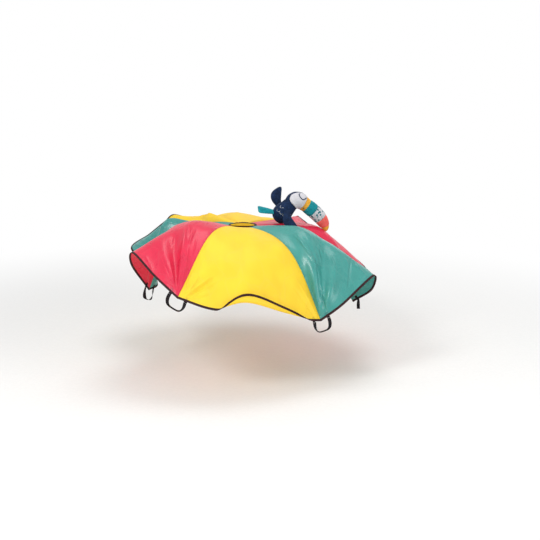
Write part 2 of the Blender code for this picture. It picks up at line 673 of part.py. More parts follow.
def seat_height(meshes, turned, grids, normals):
    """How high the bird, turned and at zero height, has to be lifted to rest on the cloth."""
    up = Vector((0, 0, 1))
    x, y = flat_radius * seat_shares[0], flat_radius * seat_shares[1]
    move = Matrix.Translation((x, y, 0)) @ turned
    heights = []
    for gore in gore_names:
        skin = grids[gore] + normals[gore] * cloth_thickness / 2
        rows, columns = skin.shape[:2]
        points = [Vector(point) for point in skin.reshape(-1, 3)]
        faces = [(i * columns + j, (i + 1) * columns + j, (i + 1) * columns + j + 1)
                 for i in range(rows - 1) for j in range(columns - 1)]
        faces += [(i * columns + j, (i + 1) * columns + j + 1, i * columns + j + 1)
                  for i in range(rows - 1) for j in range(columns - 1)]
        cloth = BVHTree.FromPolygons(points, faces)
        for mesh in meshes:
            corners = [move @ vertex.co for vertex in mesh.vertices]
            bird = BVHTree.FromPolygons(corners, [tuple(face.vertices) for face in mesh.polygons])
            for corner in corners:
                hit = cloth.ray_cast(corner + up * flat_radius, -up)[0]
                if hit is not None:
                    heights.append(hit.z - corner.z)
            for point in points:
                hit = bird.ray_cast(point - up * 2 * flat_radius, up)[0]
                if hit is not None:
                    heights.append(point.z - hit.z)
    return max(heights) + bird_gap


def bird_matrix(height):
    heading, tilt = math.radians(bird_heading_degrees), math.radians(bird_tilt_degrees)
    x, y = flat_radius * seat_shares[0], flat_radius * seat_shares[1]
    turned = Matrix.Rotation(heading, 4, "Z") @ Matrix.Rotation(-tilt, 4, "Y")
    return Matrix.Translation((x, y, height)) @ turned


def add_bird(grids, normals, materials):
    """The stuffed toucan: it is built level, turned, and set down on the cloth."""
    pieces = {
        "toucan_body": (bird_piece("toucan_body", 0, neck_row), "navy"),
        "toucan_head": (bird_piece("toucan_head", neck_row, face_row), "navy"),
        "toucan_tail": (tail_mesh("toucan_tail"), "teal_velour"),
    }
    for name, (first, last, colour) in beak_pieces.items():
        pieces[name] = (bird_piece(name, first, last), colour)
    for side in ("left", "right"):
        pieces["toucan_face_" + side] = (face_patch("toucan_face_" + side, side), "white_velour")
        pieces["toucan_foot_" + side] = (foot_mesh("toucan_foot_" + side, side), "ochre")
        pieces["toucan_wing_" + side] = (wing_mesh("toucan_wing_" + side, side), "navy")
    turned = Matrix.Rotation(math.radians(bird_heading_degrees), 4, "Z")
    turned = turned @ Matrix.Rotation(-math.radians(bird_tilt_degrees), 4, "Y")
    resting = [mesh for name, (mesh, _) in pieces.items() if "tail" not in name]
    move = bird_matrix(seat_height(resting, turned, grids, normals))
    cutters = {}
    for name, (first, last) in {"body_cutter": (0, neck_row), "head_cutter": (neck_row, face_row)}.items():
        cutter = bpy.data.objects.new(name, bird_piece(name, first, last, bird_gap))
        bpy.context.scene.collection.objects.link(cutter)
        cutter.data.transform(move)
        cutter.hide_render = True
        cutter.display_type = "WIRE"
        cutters[name] = cutter
    cut_by = {"foot": "body_cutter", "tail": "body_cutter", "face": "head_cutter"}
    for name, (mesh, colour) in pieces.items():
        mesh.transform(move)
        origin = None
        if "wing" in name:
            origin = move @ Vector(wing_frame(name.split("_")[-1])[0])
        part = add_object(name, mesh, materials[colour], origin=origin)
        kind = name.split("_")[1]
        if kind in cut_by:
            cut = part.modifiers.new("cut", "BOOLEAN")
            cut.operation = "DIFFERENCE"
            cut.object = cutters[cut_by[kind]]


def main():
    for old in list(bpy.data.objects):
        bpy.data.objects.remove(old)
    materials = {
        "yellow": new_material("cloth_yellow", (1.0, 0.72, 0.05), 0.45),
        "teal": new_material("cloth_teal", (0.02, 0.32, 0.26), 0.45),
        "red": new_material("cloth_red", (0.78, 0.05, 0.10), 0.45),
        "tape": new_material("binding_tape", (0.035, 0.02, 0.02), 0.7),
        "webbing": new_material("webbing_black", (0.012, 0.012, 0.014), 0.65),
        "navy": new_material("velour_navy", (0.006, 0.020, 0.065), 0.9),
        "teal_velour": new_material("velour_teal", (0.0, 0.16, 0.18), 0.9),
        "white_velour": new_material("velour_white", (0.72, 0.70, 0.68), 0.9),
        "ochre": new_material("velour_ochre", (0.75, 0.36, 0.05), 0.9),
        "coral": new_material("velour_coral", (0.80, 0.13, 0.11), 0.9),
    }
    grids, normals = make_canopy()
    add_gores(grids, normals, materials)
    add_bindings(grids, normals, materials)
    add_handles(grids, normals, materials)
    add_bird(grids, normals, materials)
    triangles = sum(len(part.data.loop_triangles) for part in bpy.data.objects if part.type == "MESH")
    print("objects", len(bpy.data.objects), "triangles", triangles)


main()
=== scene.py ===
import math

import bmesh
import bpy
import numpy as np
from mathutils import Matrix, Vector


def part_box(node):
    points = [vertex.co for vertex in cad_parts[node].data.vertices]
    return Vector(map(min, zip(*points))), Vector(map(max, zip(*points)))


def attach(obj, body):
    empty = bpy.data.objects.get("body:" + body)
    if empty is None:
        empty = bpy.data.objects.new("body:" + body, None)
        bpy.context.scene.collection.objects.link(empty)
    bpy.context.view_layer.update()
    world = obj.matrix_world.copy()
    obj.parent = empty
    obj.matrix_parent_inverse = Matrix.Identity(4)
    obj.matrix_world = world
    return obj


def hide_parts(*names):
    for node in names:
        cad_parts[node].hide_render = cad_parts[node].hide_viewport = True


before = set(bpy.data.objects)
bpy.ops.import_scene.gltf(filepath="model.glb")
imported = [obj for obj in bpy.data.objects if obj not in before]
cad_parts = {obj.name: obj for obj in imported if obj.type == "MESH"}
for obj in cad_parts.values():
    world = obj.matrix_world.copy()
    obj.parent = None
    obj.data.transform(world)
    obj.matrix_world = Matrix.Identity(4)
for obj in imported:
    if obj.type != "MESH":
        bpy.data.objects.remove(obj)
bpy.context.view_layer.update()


# Shader maths: a wire is one socket, and an operator on it adds one Math node
class Wire:
    def __init__(self, finish, socket):
        self.finish = finish
        self.socket = socket

    def part(self, k):
        return Wire(self.finish, self.socket.node.outputs[k])

    def maths(self, operation, *others):
        return self.finish.add("ShaderNodeMath", {"operation": operation}, [self, *others])

    def __add__(self, other):
        return self.maths("ADD", other)

    def __sub__(self, other):
        return self.maths("SUBTRACT", other)

    def __mul__(self, other):
        return self.maths("MULTIPLY", other)

    def __truediv__(self, other):
        return self.maths("DIVIDE", other)

    def __lt__(self, other):
        return self.maths("LESS_THAN", other)


# A material or the world's light, built node by node
class Finish:
    def __init__(self, name, holder=None):
        self.material = holder or bpy.data.materials.new(name)
        self.material.use_nodes = True
        self.tree = self.material.node_tree
        self.tree.nodes.clear()

    def add(self, kind, settings=None, values=()):
        node = self.tree.nodes.new(kind)
        for key, value in (settings or {}).items():
            setattr(node, key, value)
        for key, value in values.items() if isinstance(values, dict) else enumerate(values):
            if isinstance(value, Wire):
                self.tree.links.new(value.socket, node.inputs[key])
            else:
                node.inputs[key].default_value = value
        return Wire(self, node.outputs[0]) if node.outputs else node

    def uv(self, name):
        found = self.add("ShaderNodeSeparateXYZ", {}, [self.add("ShaderNodeUVMap", {"uv_map": name})])
        return found, found.part(1)

    def place(self):
        return self.add("ShaderNodeTexCoord").part(3)

    def vector(self, x, y):
        return self.add("ShaderNodeCombineXYZ", {}, [x, y])

    def noise(self, where, scale, detail=2.0, rough=0.5, distort=0.0):
        return self.add("ShaderNodeTexNoise", {}, {
            "Vector": where, "Scale": scale, "Detail": detail, "Roughness": rough, "Distortion": distort})

    def blend(self, amount, a, b):
        return self.add("ShaderNodeMix", {"data_type": "RGBA"}, {0: amount, 6: a, 7: b}).part(2)

    def fade(self, value, low, high, start=0.0, end=1.0):
        return self.add("ShaderNodeMapRange", {"interpolation_type": "SMOOTHSTEP"},
                        [value, low, high, start, end])

    def looks(self):
        # 1 for what sees the surface itself, 0 for the light that it sheds on others
        rays = self.add("ShaderNodeLightPath")
        return rays.maths("MAXIMUM", rays.part(3)).maths("MAXIMUM", rays.part(6))

    def bumps(self, *layers):
        # coarse to fine, each with its height, the distance that it stands for and its strength
        normal = None
        for height, distance, strength in layers:
            values = {"Height": height, "Distance": distance, "Strength": strength}
            if normal:
                values["Normal"] = normal
            normal = self.add("ShaderNodeBump", {}, values)
        return normal

    def shade(self, colour, rough, normal, through=0.0, glow=None, **constants):
        values = {"Base Color": colour, "Roughness": rough, "Normal": normal}
        values.update((key.replace("_", " "), value) for key, value in constants.items())
        seen = self.add("ShaderNodeBsdfPrincipled", {}, values)
        if through:
            behind = self.add("ShaderNodeBsdfTranslucent", {}, {"Color": glow, "Normal": normal})
            seen = self.add("ShaderNodeMixShader", {}, [through, seen, behind])
        self.add("ShaderNodeOutputMaterial", {}, {"Surface": seen})
        return self.material


def tint(colour, times=1.0, plus=0.0):
    return (*(channel * times + plus for channel in colour), 1.0)


# Cloth, tape and webbing
# the nylon's sheen is painted: this much white lightens its creases and raised weave
clothLook = {
    "paintedSheen": 0.16, "through": 0.40, "coatRough": 0.13, "fuzzRough": 0.30, "weavePitch": 0.0009,
    "seamWidth": 0.009, "seamRows": (0.0022, 0.0072), "threadHalf": 0.00055,
    "stitchLength": 0.0034, "stitchGap": 0.0012,
}
tapeLook = {"slant": 0.8, "slantPitch": 1.4, "sewnAt": 0.0105, "threadHalf": 0.0005}


def dashes(finish, along, off, at, half):
    # a row of stitches: 1 on the thread, falling off at its sides
    step = clothLook["stitchLength"] + clothLook["stitchGap"]
    on = (along / step).maths("FRACT") < clothLook["stitchLength"] / step
    return on * finish.fade((off - at).maths("ABSOLUTE"), half * 0.4, half, 1.0, 0.0)


def nylonFinish(name, colour, glow, gloss, shine, coat, fuzz):
    look = clothLook
    nylon = Finish(name)
    across, down = nylon.uv("cut")
    seamOff, hemOff = nylon.uv("edge")
    flat = nylon.vector(across, down)
    # plain weave, with a thicker thread here and there
    turn = 2 * math.pi / look["weavePitch"]
    slub = nylon.noise(nylon.vector(across * 30.0, down * 900.0), 1.0, 1.0)
    weave = (across * turn).maths("SINE") * (down * turn).maths("SINE") + slub * 0.8
    # soft waves that run from the middle to the hem, and small creases from the bag
    streaks = nylon.noise(nylon.vector(across * 15.0, down * 3.6), 1.0, 1.0, 0.45, 0.5)
    swell = nylon.noise(flat, 5.5, 1.0, 0.5, 0.3)
    crumple = nylon.add("ShaderNodeTexVoronoi", {"feature": "DISTANCE_TO_EDGE"}, {
        "Vector": nylon.vector(across + swell * 0.07, down * 0.7 + streaks * 0.08), "Scale": 9.0})
    crease = nylon.fade(crumple, 0.0, 0.045, 1.0, 0.0)
    small = nylon.noise(flat, 30.0, 2.0, 0.55, 0.8)
    # the seam's lapped edge with its two rows of thread, and the puckers that they draw
    lap = nylon.fade(seamOff, look["seamWidth"] * 0.85, look["seamWidth"], 1.0, 0.0)
    near, far = (dashes(nylon, down, seamOff, at, look["threadHalf"]) for at in look["seamRows"])
    seamRows = near.maths("MAXIMUM", far)
    seamPull = (down * 460.0 + small * 5.0).maths("SINE") * nylon.fade(seamOff, 0.0, 0.030, 1.0, 0.0)
    hemPull = (across * 330.0 + small * 6.0).maths("SINE") * nylon.fade(hemOff, 0.010, 0.055, 1.0, 0.0)
    # colour: painted shade in the troughs of the waves and painted light on their crests, then a painted sheen
    # along each crease and where the weave stands up
    tone = nylon.fade(streaks * 0.4 + swell * 0.6, 0.30, 0.70)
    # painted sheen: the cloth's colour whitened, laid along the creases and on the raised weave
    paintedSheenColour = tint(colour, 0.70, look["paintedSheen"])
    # painted shade and light: the colour follows the waves' height, deeper where they are low and paler where
    # they are high
    base = nylon.blend(tone, tint(colour, 0.93), tint(colour, 1.05))
    base = nylon.blend(crease * 0.22 * small, base, paintedSheenColour)
    base = nylon.blend(seamRows * 0.85, base, tint(colour, 0.62))
    base = nylon.blend(nylon.fade(weave, -1.0, 1.8) * 0.04, base, paintedSheenColour)
    rough = nylon.fade(small * 0.5 + streaks * 0.5, 0.25, 0.75, gloss - 0.05, gloss + 0.08)
    normal = nylon.bumps(
        (streaks * 0.8 + swell * 0.8, 0.0060, 0.4), (crease * 0.55 + small * 0.7, 0.0009, 0.5),
        (seamPull * 0.5 + hemPull * 0.5, 0.0007, 0.7), (lap * 0.6 + seamRows * 0.5, 0.0006, 0.9),
        (weave, 0.00003, 0.5))
    return nylon.shade(base, rough + crease * 0.06 + lap * 0.05, normal, look["through"], tint(glow),
                       Specular_IOR_Level=shine, Coat_Weight=coat, Coat_Roughness=look["coatRough"],
                       Sheen_Weight=fuzz, Sheen_Roughness=look["fuzzRough"])


def tapeFinish(name, colour, pitch):
    # folded tape or webbing: ribs along it, a herringbone across, and a sewn row
    look = tapeLook
    tape = Finish(name)
    along, off = tape.uv("tape")
    ribs = (off * (2 * math.pi / pitch)).maths("SINE")
    slant = ((along + off * look["slant"]) * (2 * math.pi / (pitch * look["slantPitch"]))).maths("SINE")
    fuzz = tape.noise(tape.place(), 900.0, 2.0, 0.6)
    wear = tape.noise(tape.place(), 38.0, 3.0, 0.6)
    sewn = dashes(tape, along, off, look["sewnAt"], look["threadHalf"])
    base = tape.blend(tape.fade(ribs + slant * 0.6, -1.4, 1.4), tint(colour, 0.70), tint(colour, 1.30))
    base = tape.blend(tape.fade(wear, 0.52, 0.78) * 0.35, base, tint(colour, 0.7, 0.05))
    base = tape.blend(sewn * 0.8, base, tint(colour, 0.6, 0.10))
    rough = tape.fade(fuzz, 0.2, 0.8, 0.68, 0.90)
    normal = tape.bumps((ribs * 0.5 + slant * 0.5, 0.00018, 0.8), (fuzz, 0.00015, 0.5), (sewn, 0.0005, 0.9))
    return tape.shade(base, rough, normal, Specular_IOR_Level=0.12, Sheen_Weight=0.02, Sheen_Roughness=0.4)


def threadFinish(name, colour):
    # twisted thread: slanting plies that catch the light
    thread = Finish(name)
    where = thread.place()
    plies = thread.add("ShaderNodeTexWave", {"bands_direction": "DIAGONAL"}, {
        "Vector": where, "Scale": 900.0, "Distortion": 1.5}).part(1)
    fuzz = thread.noise(where, 1500.0, 2.0)
    base = thread.blend(plies, tint(colour, 0.72), tint(colour, 1.12))
    rough = thread.fade(fuzz, 0.2, 0.8, 0.40, 0.62)
    return thread.shade(base, rough, thread.bumps((plies + fuzz * 0.4, 0.0002, 0.7)),
                        Sheen_Weight=0.2, Sheen_Roughness=0.4)


# Velour of the stuffed bird: short pile that lies in patches, brushed one way or the other
def velourFinish(name, colour, nap, dots=None):
    pile = Finish(name)
    where = pile.place()
    patches = pile.noise(where, 46.0, 3.0, 0.62, 0.8)
    strokes = pile.noise(where, 210.0, 2.0, 0.6, 1.5)
    tufts = pile.noise(where, 1500.0, 2.0, 0.7)
    tone = pile.fade(patches * 0.55 + strokes * 0.30 + tufts * 0.15, 0.36, 0.64)
    base = pile.blend(tone, tint(colour, 1.0 - nap), tint(colour, 1.0 + nap, 0.010 * nap))
    if dots:
        cells = pile.add("ShaderNodeTexVoronoi", {}, {
            "Vector": pile.vector(*pile.uv("skin")), "Scale": dots["scale"], "Randomness": dots["scatter"]})
        size = pile.add("ShaderNodeSeparateColor", {}, [cells.part(1)])
        radius = size * (dots["largest"] - dots["smallest"]) + dots["smallest"]
        spot = pile.fade(cells + (tufts - 0.5) * 0.05 - radius, -0.03, 0.03, 1.0, 0.0)
        base = pile.blend(spot, base, pile.blend(tone, tint(dots["colour"], 0.8), tint(dots["colour"], 1.15)))
    rough = pile.fade(tufts, 0.2, 0.8, 0.82, 0.98)
    normal = pile.bumps((patches * 0.7 + strokes * 0.5, 0.0016, 0.5), (tufts, 0.0007, 0.7))
    return pile.shade(base, rough, normal, Specular_IOR_Level=0.2, Sheen_Weight=0.22,
                      Sheen_Roughness=0.38, Sheen_Tint=tint(colour, 0.7, 0.3))


# Colours are linear light. Each nylon: its own colour and the light through it, then roughness,
# shine, clear coat and fuzz
nylons = {
    "yellow": ((0.93, 0.735, 0.055), (1.0, 0.76, 0.025), 0.44, 0.22, 0.02, 0.02),
    "teal": ((0.070, 0.370, 0.340), (0.100, 0.540, 0.490), 0.28, 0.45, 0.30, 0.12),
    "red": ((0.69, 0.033, 0.098), (1.0, 0.060, 0.140), 0.30, 0.38, 0.22, 0.03),
}
spots = {"scale": 60.0, "scatter": 0.50, "smallest": 0.27, "largest": 0.44, "colour": (0.004, 0.14, 0.165)}
finishes = {
    **{name: nylonFinish("nylon" + name.title(), *look) for name, look in nylons.items()},
    "tape": tapeFinish("hemTape", (0.032, 0.012, 0.014), 0.0010),
    "webbing": tapeFinish("webbing", (0.010, 0.008, 0.010), 0.0016),
    "darkThread": threadFinish("darkThread", (0.030, 0.020, 0.022)),
    "ochreThread": threadFinish("ochreThread", (0.34, 0.17, 0.030)),
    "paleThread": threadFinish("paleThread", (0.70, 0.73, 0.78)),
    "navyThread": threadFinish("navyThread", (0.008, 0.022, 0.060)),
    "navy": velourFinish("velourNavy", (0.0018, 0.0135, 0.0480), 0.45),
    "tealPile": velourFinish("velourTeal", (0.0050, 0.2100, 0.2450), 0.25),
    "white": velourFinish("velourWhite", (0.52, 0.515, 0.545), 0.07),
    "spotted": velourFinish("velourSpotted", (0.53, 0.525, 0.55), 0.07, spots),
    "ochre": velourFinish("velourOchre", (0.76, 0.375, 0.040), 0.14),
    "coral": velourFinish("velourCoral", (0.80, 0.125, 0.105), 0.14),
}
print("finishes:", len(finishes))


# Mesh tools
def unit(vectors):
    return vectors / np.maximum(np.linalg.norm(vectors, axis=-1, keepdims=True), 1e-12)


def squareTo(vector, axis):
    return unit(vector - axis * np.dot(vector, axis))


def lengthAlong(points):
    # how far along their line each of the points lies
    return np.concatenate([[0], np.cumsum(np.linalg.norm(np.diff(points, axis=0), axis=1))])


def mapOf(rows, columns):
    # the two map values of each point on a grid, one from its row and one from its column
    return np.stack(np.broadcast_arrays(rows[:, None], columns[None, :]), -1)


def smoothAt(points, rows):
    p = np.asarray(points, float)
    ends = np.vstack([2 * p[0] - p[1], p, 2 * p[-1] - p[-2]])
    k = np.clip(np.floor(rows).astype(int), 0, len(p) - 2)
    t = (np.asarray(rows) - k)[..., None]
    a, b, c, d = (ends[k + step] for step in range(4))
    return 0.5 * (2 * b + (c - a) * t + (2 * a - 5 * b + 4 * c - d) * t**2 + (3 * b - a - 3 * c + d) * t**3)


def smoothLine(points, count):
    return smoothAt(points, np.linspace(0, len(points) - 1, count))


def gridNormals(grid):
    return unit(np.cross(np.gradient(grid, axis=0), np.gradient(grid, axis=1)))


def drawnShut(points):
    # a tube's rows of points, with one more at each end that lies on the end's middle
    ends = [np.tile(points[k].mean(0), (1, points.shape[1], 1)) for k in (0, -1)]
    return np.concatenate([ends[0], points, ends[1]])


def meshFrom(work, mesh):
    work.to_mesh(mesh)
    work.free()
    mesh.shade_smooth()
    return mesh


def layGrid(name, points, maps, weld=False, flip=False):
    # a grid of faces laid on rows and columns of points; weld joins edges that meet
    rows, columns = points.shape[:2]
    work = bmesh.new()
    bmesh.ops.create_grid(work, x_segments=columns - 1, y_segments=rows - 1, size=0.5)
    mesh = bpy.data.meshes.new(name)
    work.to_mesh(mesh)
    mesh.vertices.foreach_set("co", points.reshape(-1).astype(np.float32))
    corner = np.zeros(len(mesh.loops), int)
    mesh.loops.foreach_get("vertex_index", corner)
    for label, uv in maps.items():
        layer = mesh.uv_layers.new(name=label)
        layer.uv.foreach_set("vector", uv.reshape(-1, 2)[corner].reshape(-1).astype(np.float32))
    work.clear()
    work.from_mesh(mesh)
    if weld:
        bmesh.ops.remove_doubles(work, verts=work.verts, dist=1e-6)
        bmesh.ops.dissolve_degenerate(work, edges=work.edges, dist=1e-7)
    if flip:
        bmesh.ops.reverse_faces(work, faces=work.faces)
    if weld and not any(edge.is_boundary for edge in work.edges):
        bmesh.ops.recalc_face_normals(work, faces=work.faces)
    return meshFrom(work, mesh)


# the record's material slot that each finish stands for
recordSlots = {
    "yellow": "cloth_yellow", "teal": "cloth_teal", "red": "cloth_red", "tape": "binding_tape",
    "webbing": "webbing_black", "navy": "velour_navy", "tealPile": "velour_teal", "white": "velour_white",
    "spotted": "velour_white", "ochre": "velour_ochre", "coral": "velour_coral",
}


def addObject(name, data):
    made = bpy.data.objects.new(name, data)
    bpy.context.scene.collection.objects.link(made)
    return made


def addPiece(name, mesh, finish, body, stands=(), thickness=0.0):
    piece = addObject(name, mesh)
    mesh.materials.append(finishes[finish])
    if thickness:
        wall = piece.modifiers.new("thickness", "SOLIDIFY")
        wall.thickness = thickness
        wall.offset = 0.0
    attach(piece, body)
    if stands:
        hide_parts(*stands)
    finish in recordSlots
    return piece


def addStitches(name, stitches, finish, body, thick):
    # short rounded stitches, each from one point to the next over the cloth
    work = bmesh.new()
    for start, end, up in stitches:
        start, end, up = Vector(start), Vector(end), Vector(up)
        run = end - start
        side = run.cross(up).normalized()
        top = side.cross(run).normalized()
        turned = Matrix((run.normalized(), side, top)).transposed().to_4x4()
        size = Matrix.Diagonal((run.length / 2, thick / 2, thick / 2, 1.0))
        place = Matrix.Translation((start + end) / 2) @ turned @ size
        bmesh.ops.create_uvsphere(work, u_segments=6, v_segments=4, radius=1.0,
                                  matrix=place @ Matrix.Rotation(math.pi / 2, 4, "Y"))
    bmesh.ops.recalc_face_normals(work, faces=work.faces)
    return addPiece(name, meshFrom(work, bpy.data.meshes.new(name)), finish, body)


# Canopy: its cut, and where the hands hold it, as shares of the flat radius. Each place has two
# angles at which the cloth leaves the straight line from vent to hem, the share of its length
# taken up by small creases, and, where it is turned up, how far
canopyCut = {
    "flatRadius": 0.900, "ventRadius": 0.075, "gores": 6, "thickness": 0.0006, "seamGap": 0.0001,
    "tapeWidth": 0.012, "bendRadius": 0.012, "bendDegrees": 165, "turnUpReach": 0.070,
    "ventPlace": (-0.01, -0.07, 0.34),
    "columns": 200, "mainRows": 150, "hemRows": 36, "easeColumns": 41,
}
cornerHolds = {
    "front_left": (-0.41, -0.86, 0.03, 36, 16, 0.00), "front_right": (0.49, -0.62, -0.18, 38, 22, 0.01),
    "right": (0.75, -0.05, -0.20, 28, 20, 0.04), "back_right": (0.41, 0.85, 0.24, 10, 8, 0.00),
    "back_left": (-0.585, 0.72, 0.228, 3, -12, 0.002), "left": (-0.65, -0.08, -0.11, 22, 30, 0.13),
}
hemHolds = {
    "front": ((-0.21, -0.90, -0.03, 38, 22, 0.01), (0.00, -0.91, -0.05, 40, 30, 0.01, 1.0),
              (0.25, -0.79, -0.13, 40, 28, 0.01, 0.8)),
    "front_right": ((0.63, -0.60, -0.08, 34, 20, 0.01), (0.85, -0.39, 0.06, 26, 14, 0.00),
                    (0.86, -0.20, -0.08, 24, 16, 0.00)),
    "back_right": ((0.86, 0.08, -0.03, 24, 16, 0.00), (0.77, 0.37, 0.04, 20, 24, 0.02),
                   (0.62, 0.62, 0.11, 16, 20, 0.03)),
    "back": ((0.17, 0.862, 0.165, 12, 38, 0.02), (-0.09, 0.858, 0.154, 18, 52, 0.015),
             (-0.36, 0.81, 0.212, 9, 18, 0.05), (-0.52, 0.745, 0.270, 5, -6, 0.02)),
    "back_left": ((-0.70, 0.59, 0.150, 0, 4, 0.055), (-0.81, 0.36, 0.095, 13, 26, 0.05),
                  (-0.69, 0.19, 0.010, 19, 40, 0.08), (-0.60, 0.06, -0.100, 22, 56, 0.11)),
    "front_left": ((-0.74, -0.34, 0.12, 30, 20, 0.14), (-0.71, -0.56, 0.25, 24, 14, 0.12),
                   (-0.56, -0.74, 0.14, 30, 14, 0.06)),
}
goreColours = {
    "front": "yellow", "front_right": "teal", "back_right": "red",
    "back": "yellow", "back_left": "teal", "front_left": "red",
}
# Folds that the hands pull in: the end of the hem that they start at, the share of the gore's
# angle at which they run in, length and half width as shares of the cut length, and height
handFolds = {
    "front": ((0, 0.26, 0.62, 0.075, 0.7), (0, 0.52, 0.46, 0.060, -0.6), (1, 0.30, 0.60, 0.080, 0.5)),
    "front_right": ((0, 0.22, 0.85, 0.060, 1.0), (0, 0.42, 0.80, 0.055, -0.9), (0, 0.62, 0.62, 0.060, 0.8),
                    (1, 0.30, 0.70, 0.070, 0.6)),
    "back_right": ((0, 0.28, 0.80, 0.070, 0.8), (0, 0.52, 0.62, 0.065, -0.7), (1, 0.34, 0.70, 0.070, 0.7)),
    "back": ((0, 0.30, 0.60, 0.070, -0.25), (1, 0.28, 0.62, 0.070, -0.3)),
    "back_left": ((0, 0.30, 0.66, 0.070, 0.7), (1, 0.34, 0.74, 0.070, 0.8), (1, 0.60, 0.52, 0.065, -0.7)),
    "front_left": ((1, 0.22, 0.80, 0.060, 0.9), (1, 0.44, 0.74, 0.055, -0.9), (1, 0.66, 0.56, 0.060, 0.8),
                   (0, 0.32, 0.66, 0.070, 0.6)),
}
# how a fold leans, how narrow it starts and how it widens, how early it rises, and its height
foldShape = {"lean": 1.2, "narrow": 0.45, "widens": 0.9, "early": 0.7, "height": 0.022}
goreNames = list(hemHolds)
cornerNames = list(cornerHolds)
goreAngle = 2 * math.pi / canopyCut["gores"]
cutLength = canopyCut["flatRadius"] - canopyCut["ventRadius"]
hemLength = canopyCut["flatRadius"] * goreAngle

# the fine grid of every gore: shares of the hem, and depths from the hem towards the vent
fineShares = np.linspace(0, 1, canopyCut["columns"] + 1)
turnedDepth = canopyCut["turnUpReach"] + 2 * canopyCut["tapeWidth"]
fineDepths = np.concatenate([
    np.linspace(cutLength, turnedDepth, canopyCut["mainRows"] + 1)[:-1],
    np.linspace(turnedDepth, 0, canopyCut["hemRows"] + 1)])
radiusAt = canopyCut["flatRadius"] - fineDepths[:, None]
seamOff = np.minimum(fineShares, 1 - fineShares) * goreAngle * radiusAt


def pointAt(points, along, distance):
    return np.stack([np.interp(distance, along, column) for column in points.T], -1)


def hemLine(gore):
    k = goreNames.index(gore)
    rows = (cornerHolds[cornerNames[k]], *hemHolds[gore], cornerHolds[cornerNames[(k + 1) % 6]])
    rows = [(*(canopyCut["flatRadius"] * share for share in row[:3]), *row[3:], 0.0)[:7] for row in rows]
    fine = smoothLine(rows, 40 * (len(rows) - 1) + 1)
    along = lengthAlong(fine[:, :3])
    return pointAt(fine, along, fineShares * along[-1])


def turnUp(curve, along, reach, up):
    # the cloth on one line from vent to hem, with its last stretch blown up and over
    flat = pointAt(curve, along, along[-1] * (1 - fineDepths / cutLength))
    bentLength = reach - canopyCut["tapeWidth"]
    if bentLength <= 0:
        return flat
    bend = pointAt(curve, along, along[-1] - reach)
    ahead = unit(bend - pointAt(curve, along, along[-1] - reach - canopyCut["tapeWidth"]))
    out = squareTo(up, ahead)
    past = np.maximum(reach - fineDepths, 0)[:, None]
    radius = canopyCut["bendRadius"]
    turn = np.minimum(np.minimum(past, bentLength) / radius, math.radians(canopyCut["bendDegrees"]))
    rest = past - turn * radius
    bent = bend + ahead * (radius * np.sin(turn) + rest * np.cos(turn))
    bent = bent + out * (radius * (1 - np.cos(turn)) + rest * np.sin(turn))
    return np.where(past > 0, bent, flat)


def goreSheet(gore):
    # every line from vent to hem is one curve, made as long as the cloth that it is cut from
    hem = hemLine(gore)
    ends = hem[:, :3]
    ventLift, hemLift = np.radians(hem[:, 3, None]), np.radians(hem[:, 4, None])
    turn = -math.pi / 2 - goreAngle / 2 + goreAngle * (goreNames.index(gore) + fineShares)
    out = np.stack([np.cos(turn), np.sin(turn), np.zeros(len(turn))], -1)
    starts = canopyCut["flatRadius"] * np.array(canopyCut["ventPlace"]) + canopyCut["ventRadius"] * out
    chord = unit(ends - starts)
    up = np.cross(unit(np.cross(chord, [0, 0, 1])), chord)
    leave = np.cos(ventLift) * chord + np.sin(ventLift) * up
    arrive = np.cos(hemLift) * chord - np.sin(hemLift) * up
    wanted = cutLength * (1 - hem[:, 5])
    t = np.linspace(0, 1, 181)[:, None, None]
    low, high = np.zeros(len(turn)), np.full(len(turn), cutLength)
    for _ in range(30):
        reach = (low + high) / 2
        b, c = starts + reach[:, None] * leave, ends - reach[:, None] * arrive
        curves = (1 - t)**3 * starts + 3 * (1 - t)**2 * t * b + 3 * (1 - t) * t**2 * c + t**3 * ends
        steps = np.linalg.norm(np.diff(curves, axis=0), axis=2)
        long = steps.sum(0) > wanted
        high, low = np.where(long, reach, high), np.where(long, low, reach)
    along = np.vstack([np.zeros(len(turn)), np.cumsum(steps, axis=0)])
    # the hem rolls over gently: its reach is averaged along a stretch of the hem
    window = np.hanning(canopyCut["easeColumns"] + 2)[1:-1]
    padded = np.pad(np.maximum(hem[:, 6], 0), canopyCut["easeColumns"] // 2, mode="edge")
    rolled = np.convolve(padded, window / window.sum(), mode="valid") * canopyCut["turnUpReach"]
    return np.stack([turnUp(curves[:, j], along[:, j], rolled[j], up[j]) for j in range(len(turn))], axis=1)


def cutPlaces(shares, depths):
    # where each point of a gore lies on the flat cut: across it and out from its middle
    turn = (shares[None, :] - 0.5) * goreAngle
    far = canopyCut["flatRadius"] - depths[:, None]
    return np.stack([far * np.sin(turn), far * np.cos(turn)], -1)


flatPlaces = cutPlaces(fineShares, fineDepths)


def openCloth(ease):
    # 0 at the seams and under the tape, growing to 1 on the open cloth
    tape = canopyCut["tapeWidth"]
    return np.minimum(1, seamOff / ease) * np.clip((fineDepths[:, None] - tape) / tape, 0, 1)


def handLift(gore):
    lift = 0
    for end, angle, length, halfWidth, height in handFolds[gore]:
        turn = abs(end - fineShares[None, :]) * goreAngle
        across = radiusAt * np.sin(turn)
        inward = canopyCut["flatRadius"] - radiusAt * np.cos(turn)
        lean = angle * goreAngle * foldShape["lean"]
        along = inward * math.cos(lean) + across * math.sin(lean)
        beside = across * math.cos(lean) - inward * math.sin(lean)
        run = np.clip(along / (length * cutLength), 0, 1)
        width = halfWidth * cutLength * (foldShape["narrow"] + foldShape["widens"] * run)
        shape = np.sin(math.pi * run**foldShape["early"]) * np.exp(-(beside / width)**2)
        lift = lift + height * foldShape["height"] * shape
    return lift * openCloth(2 * canopyCut["tapeWidth"])


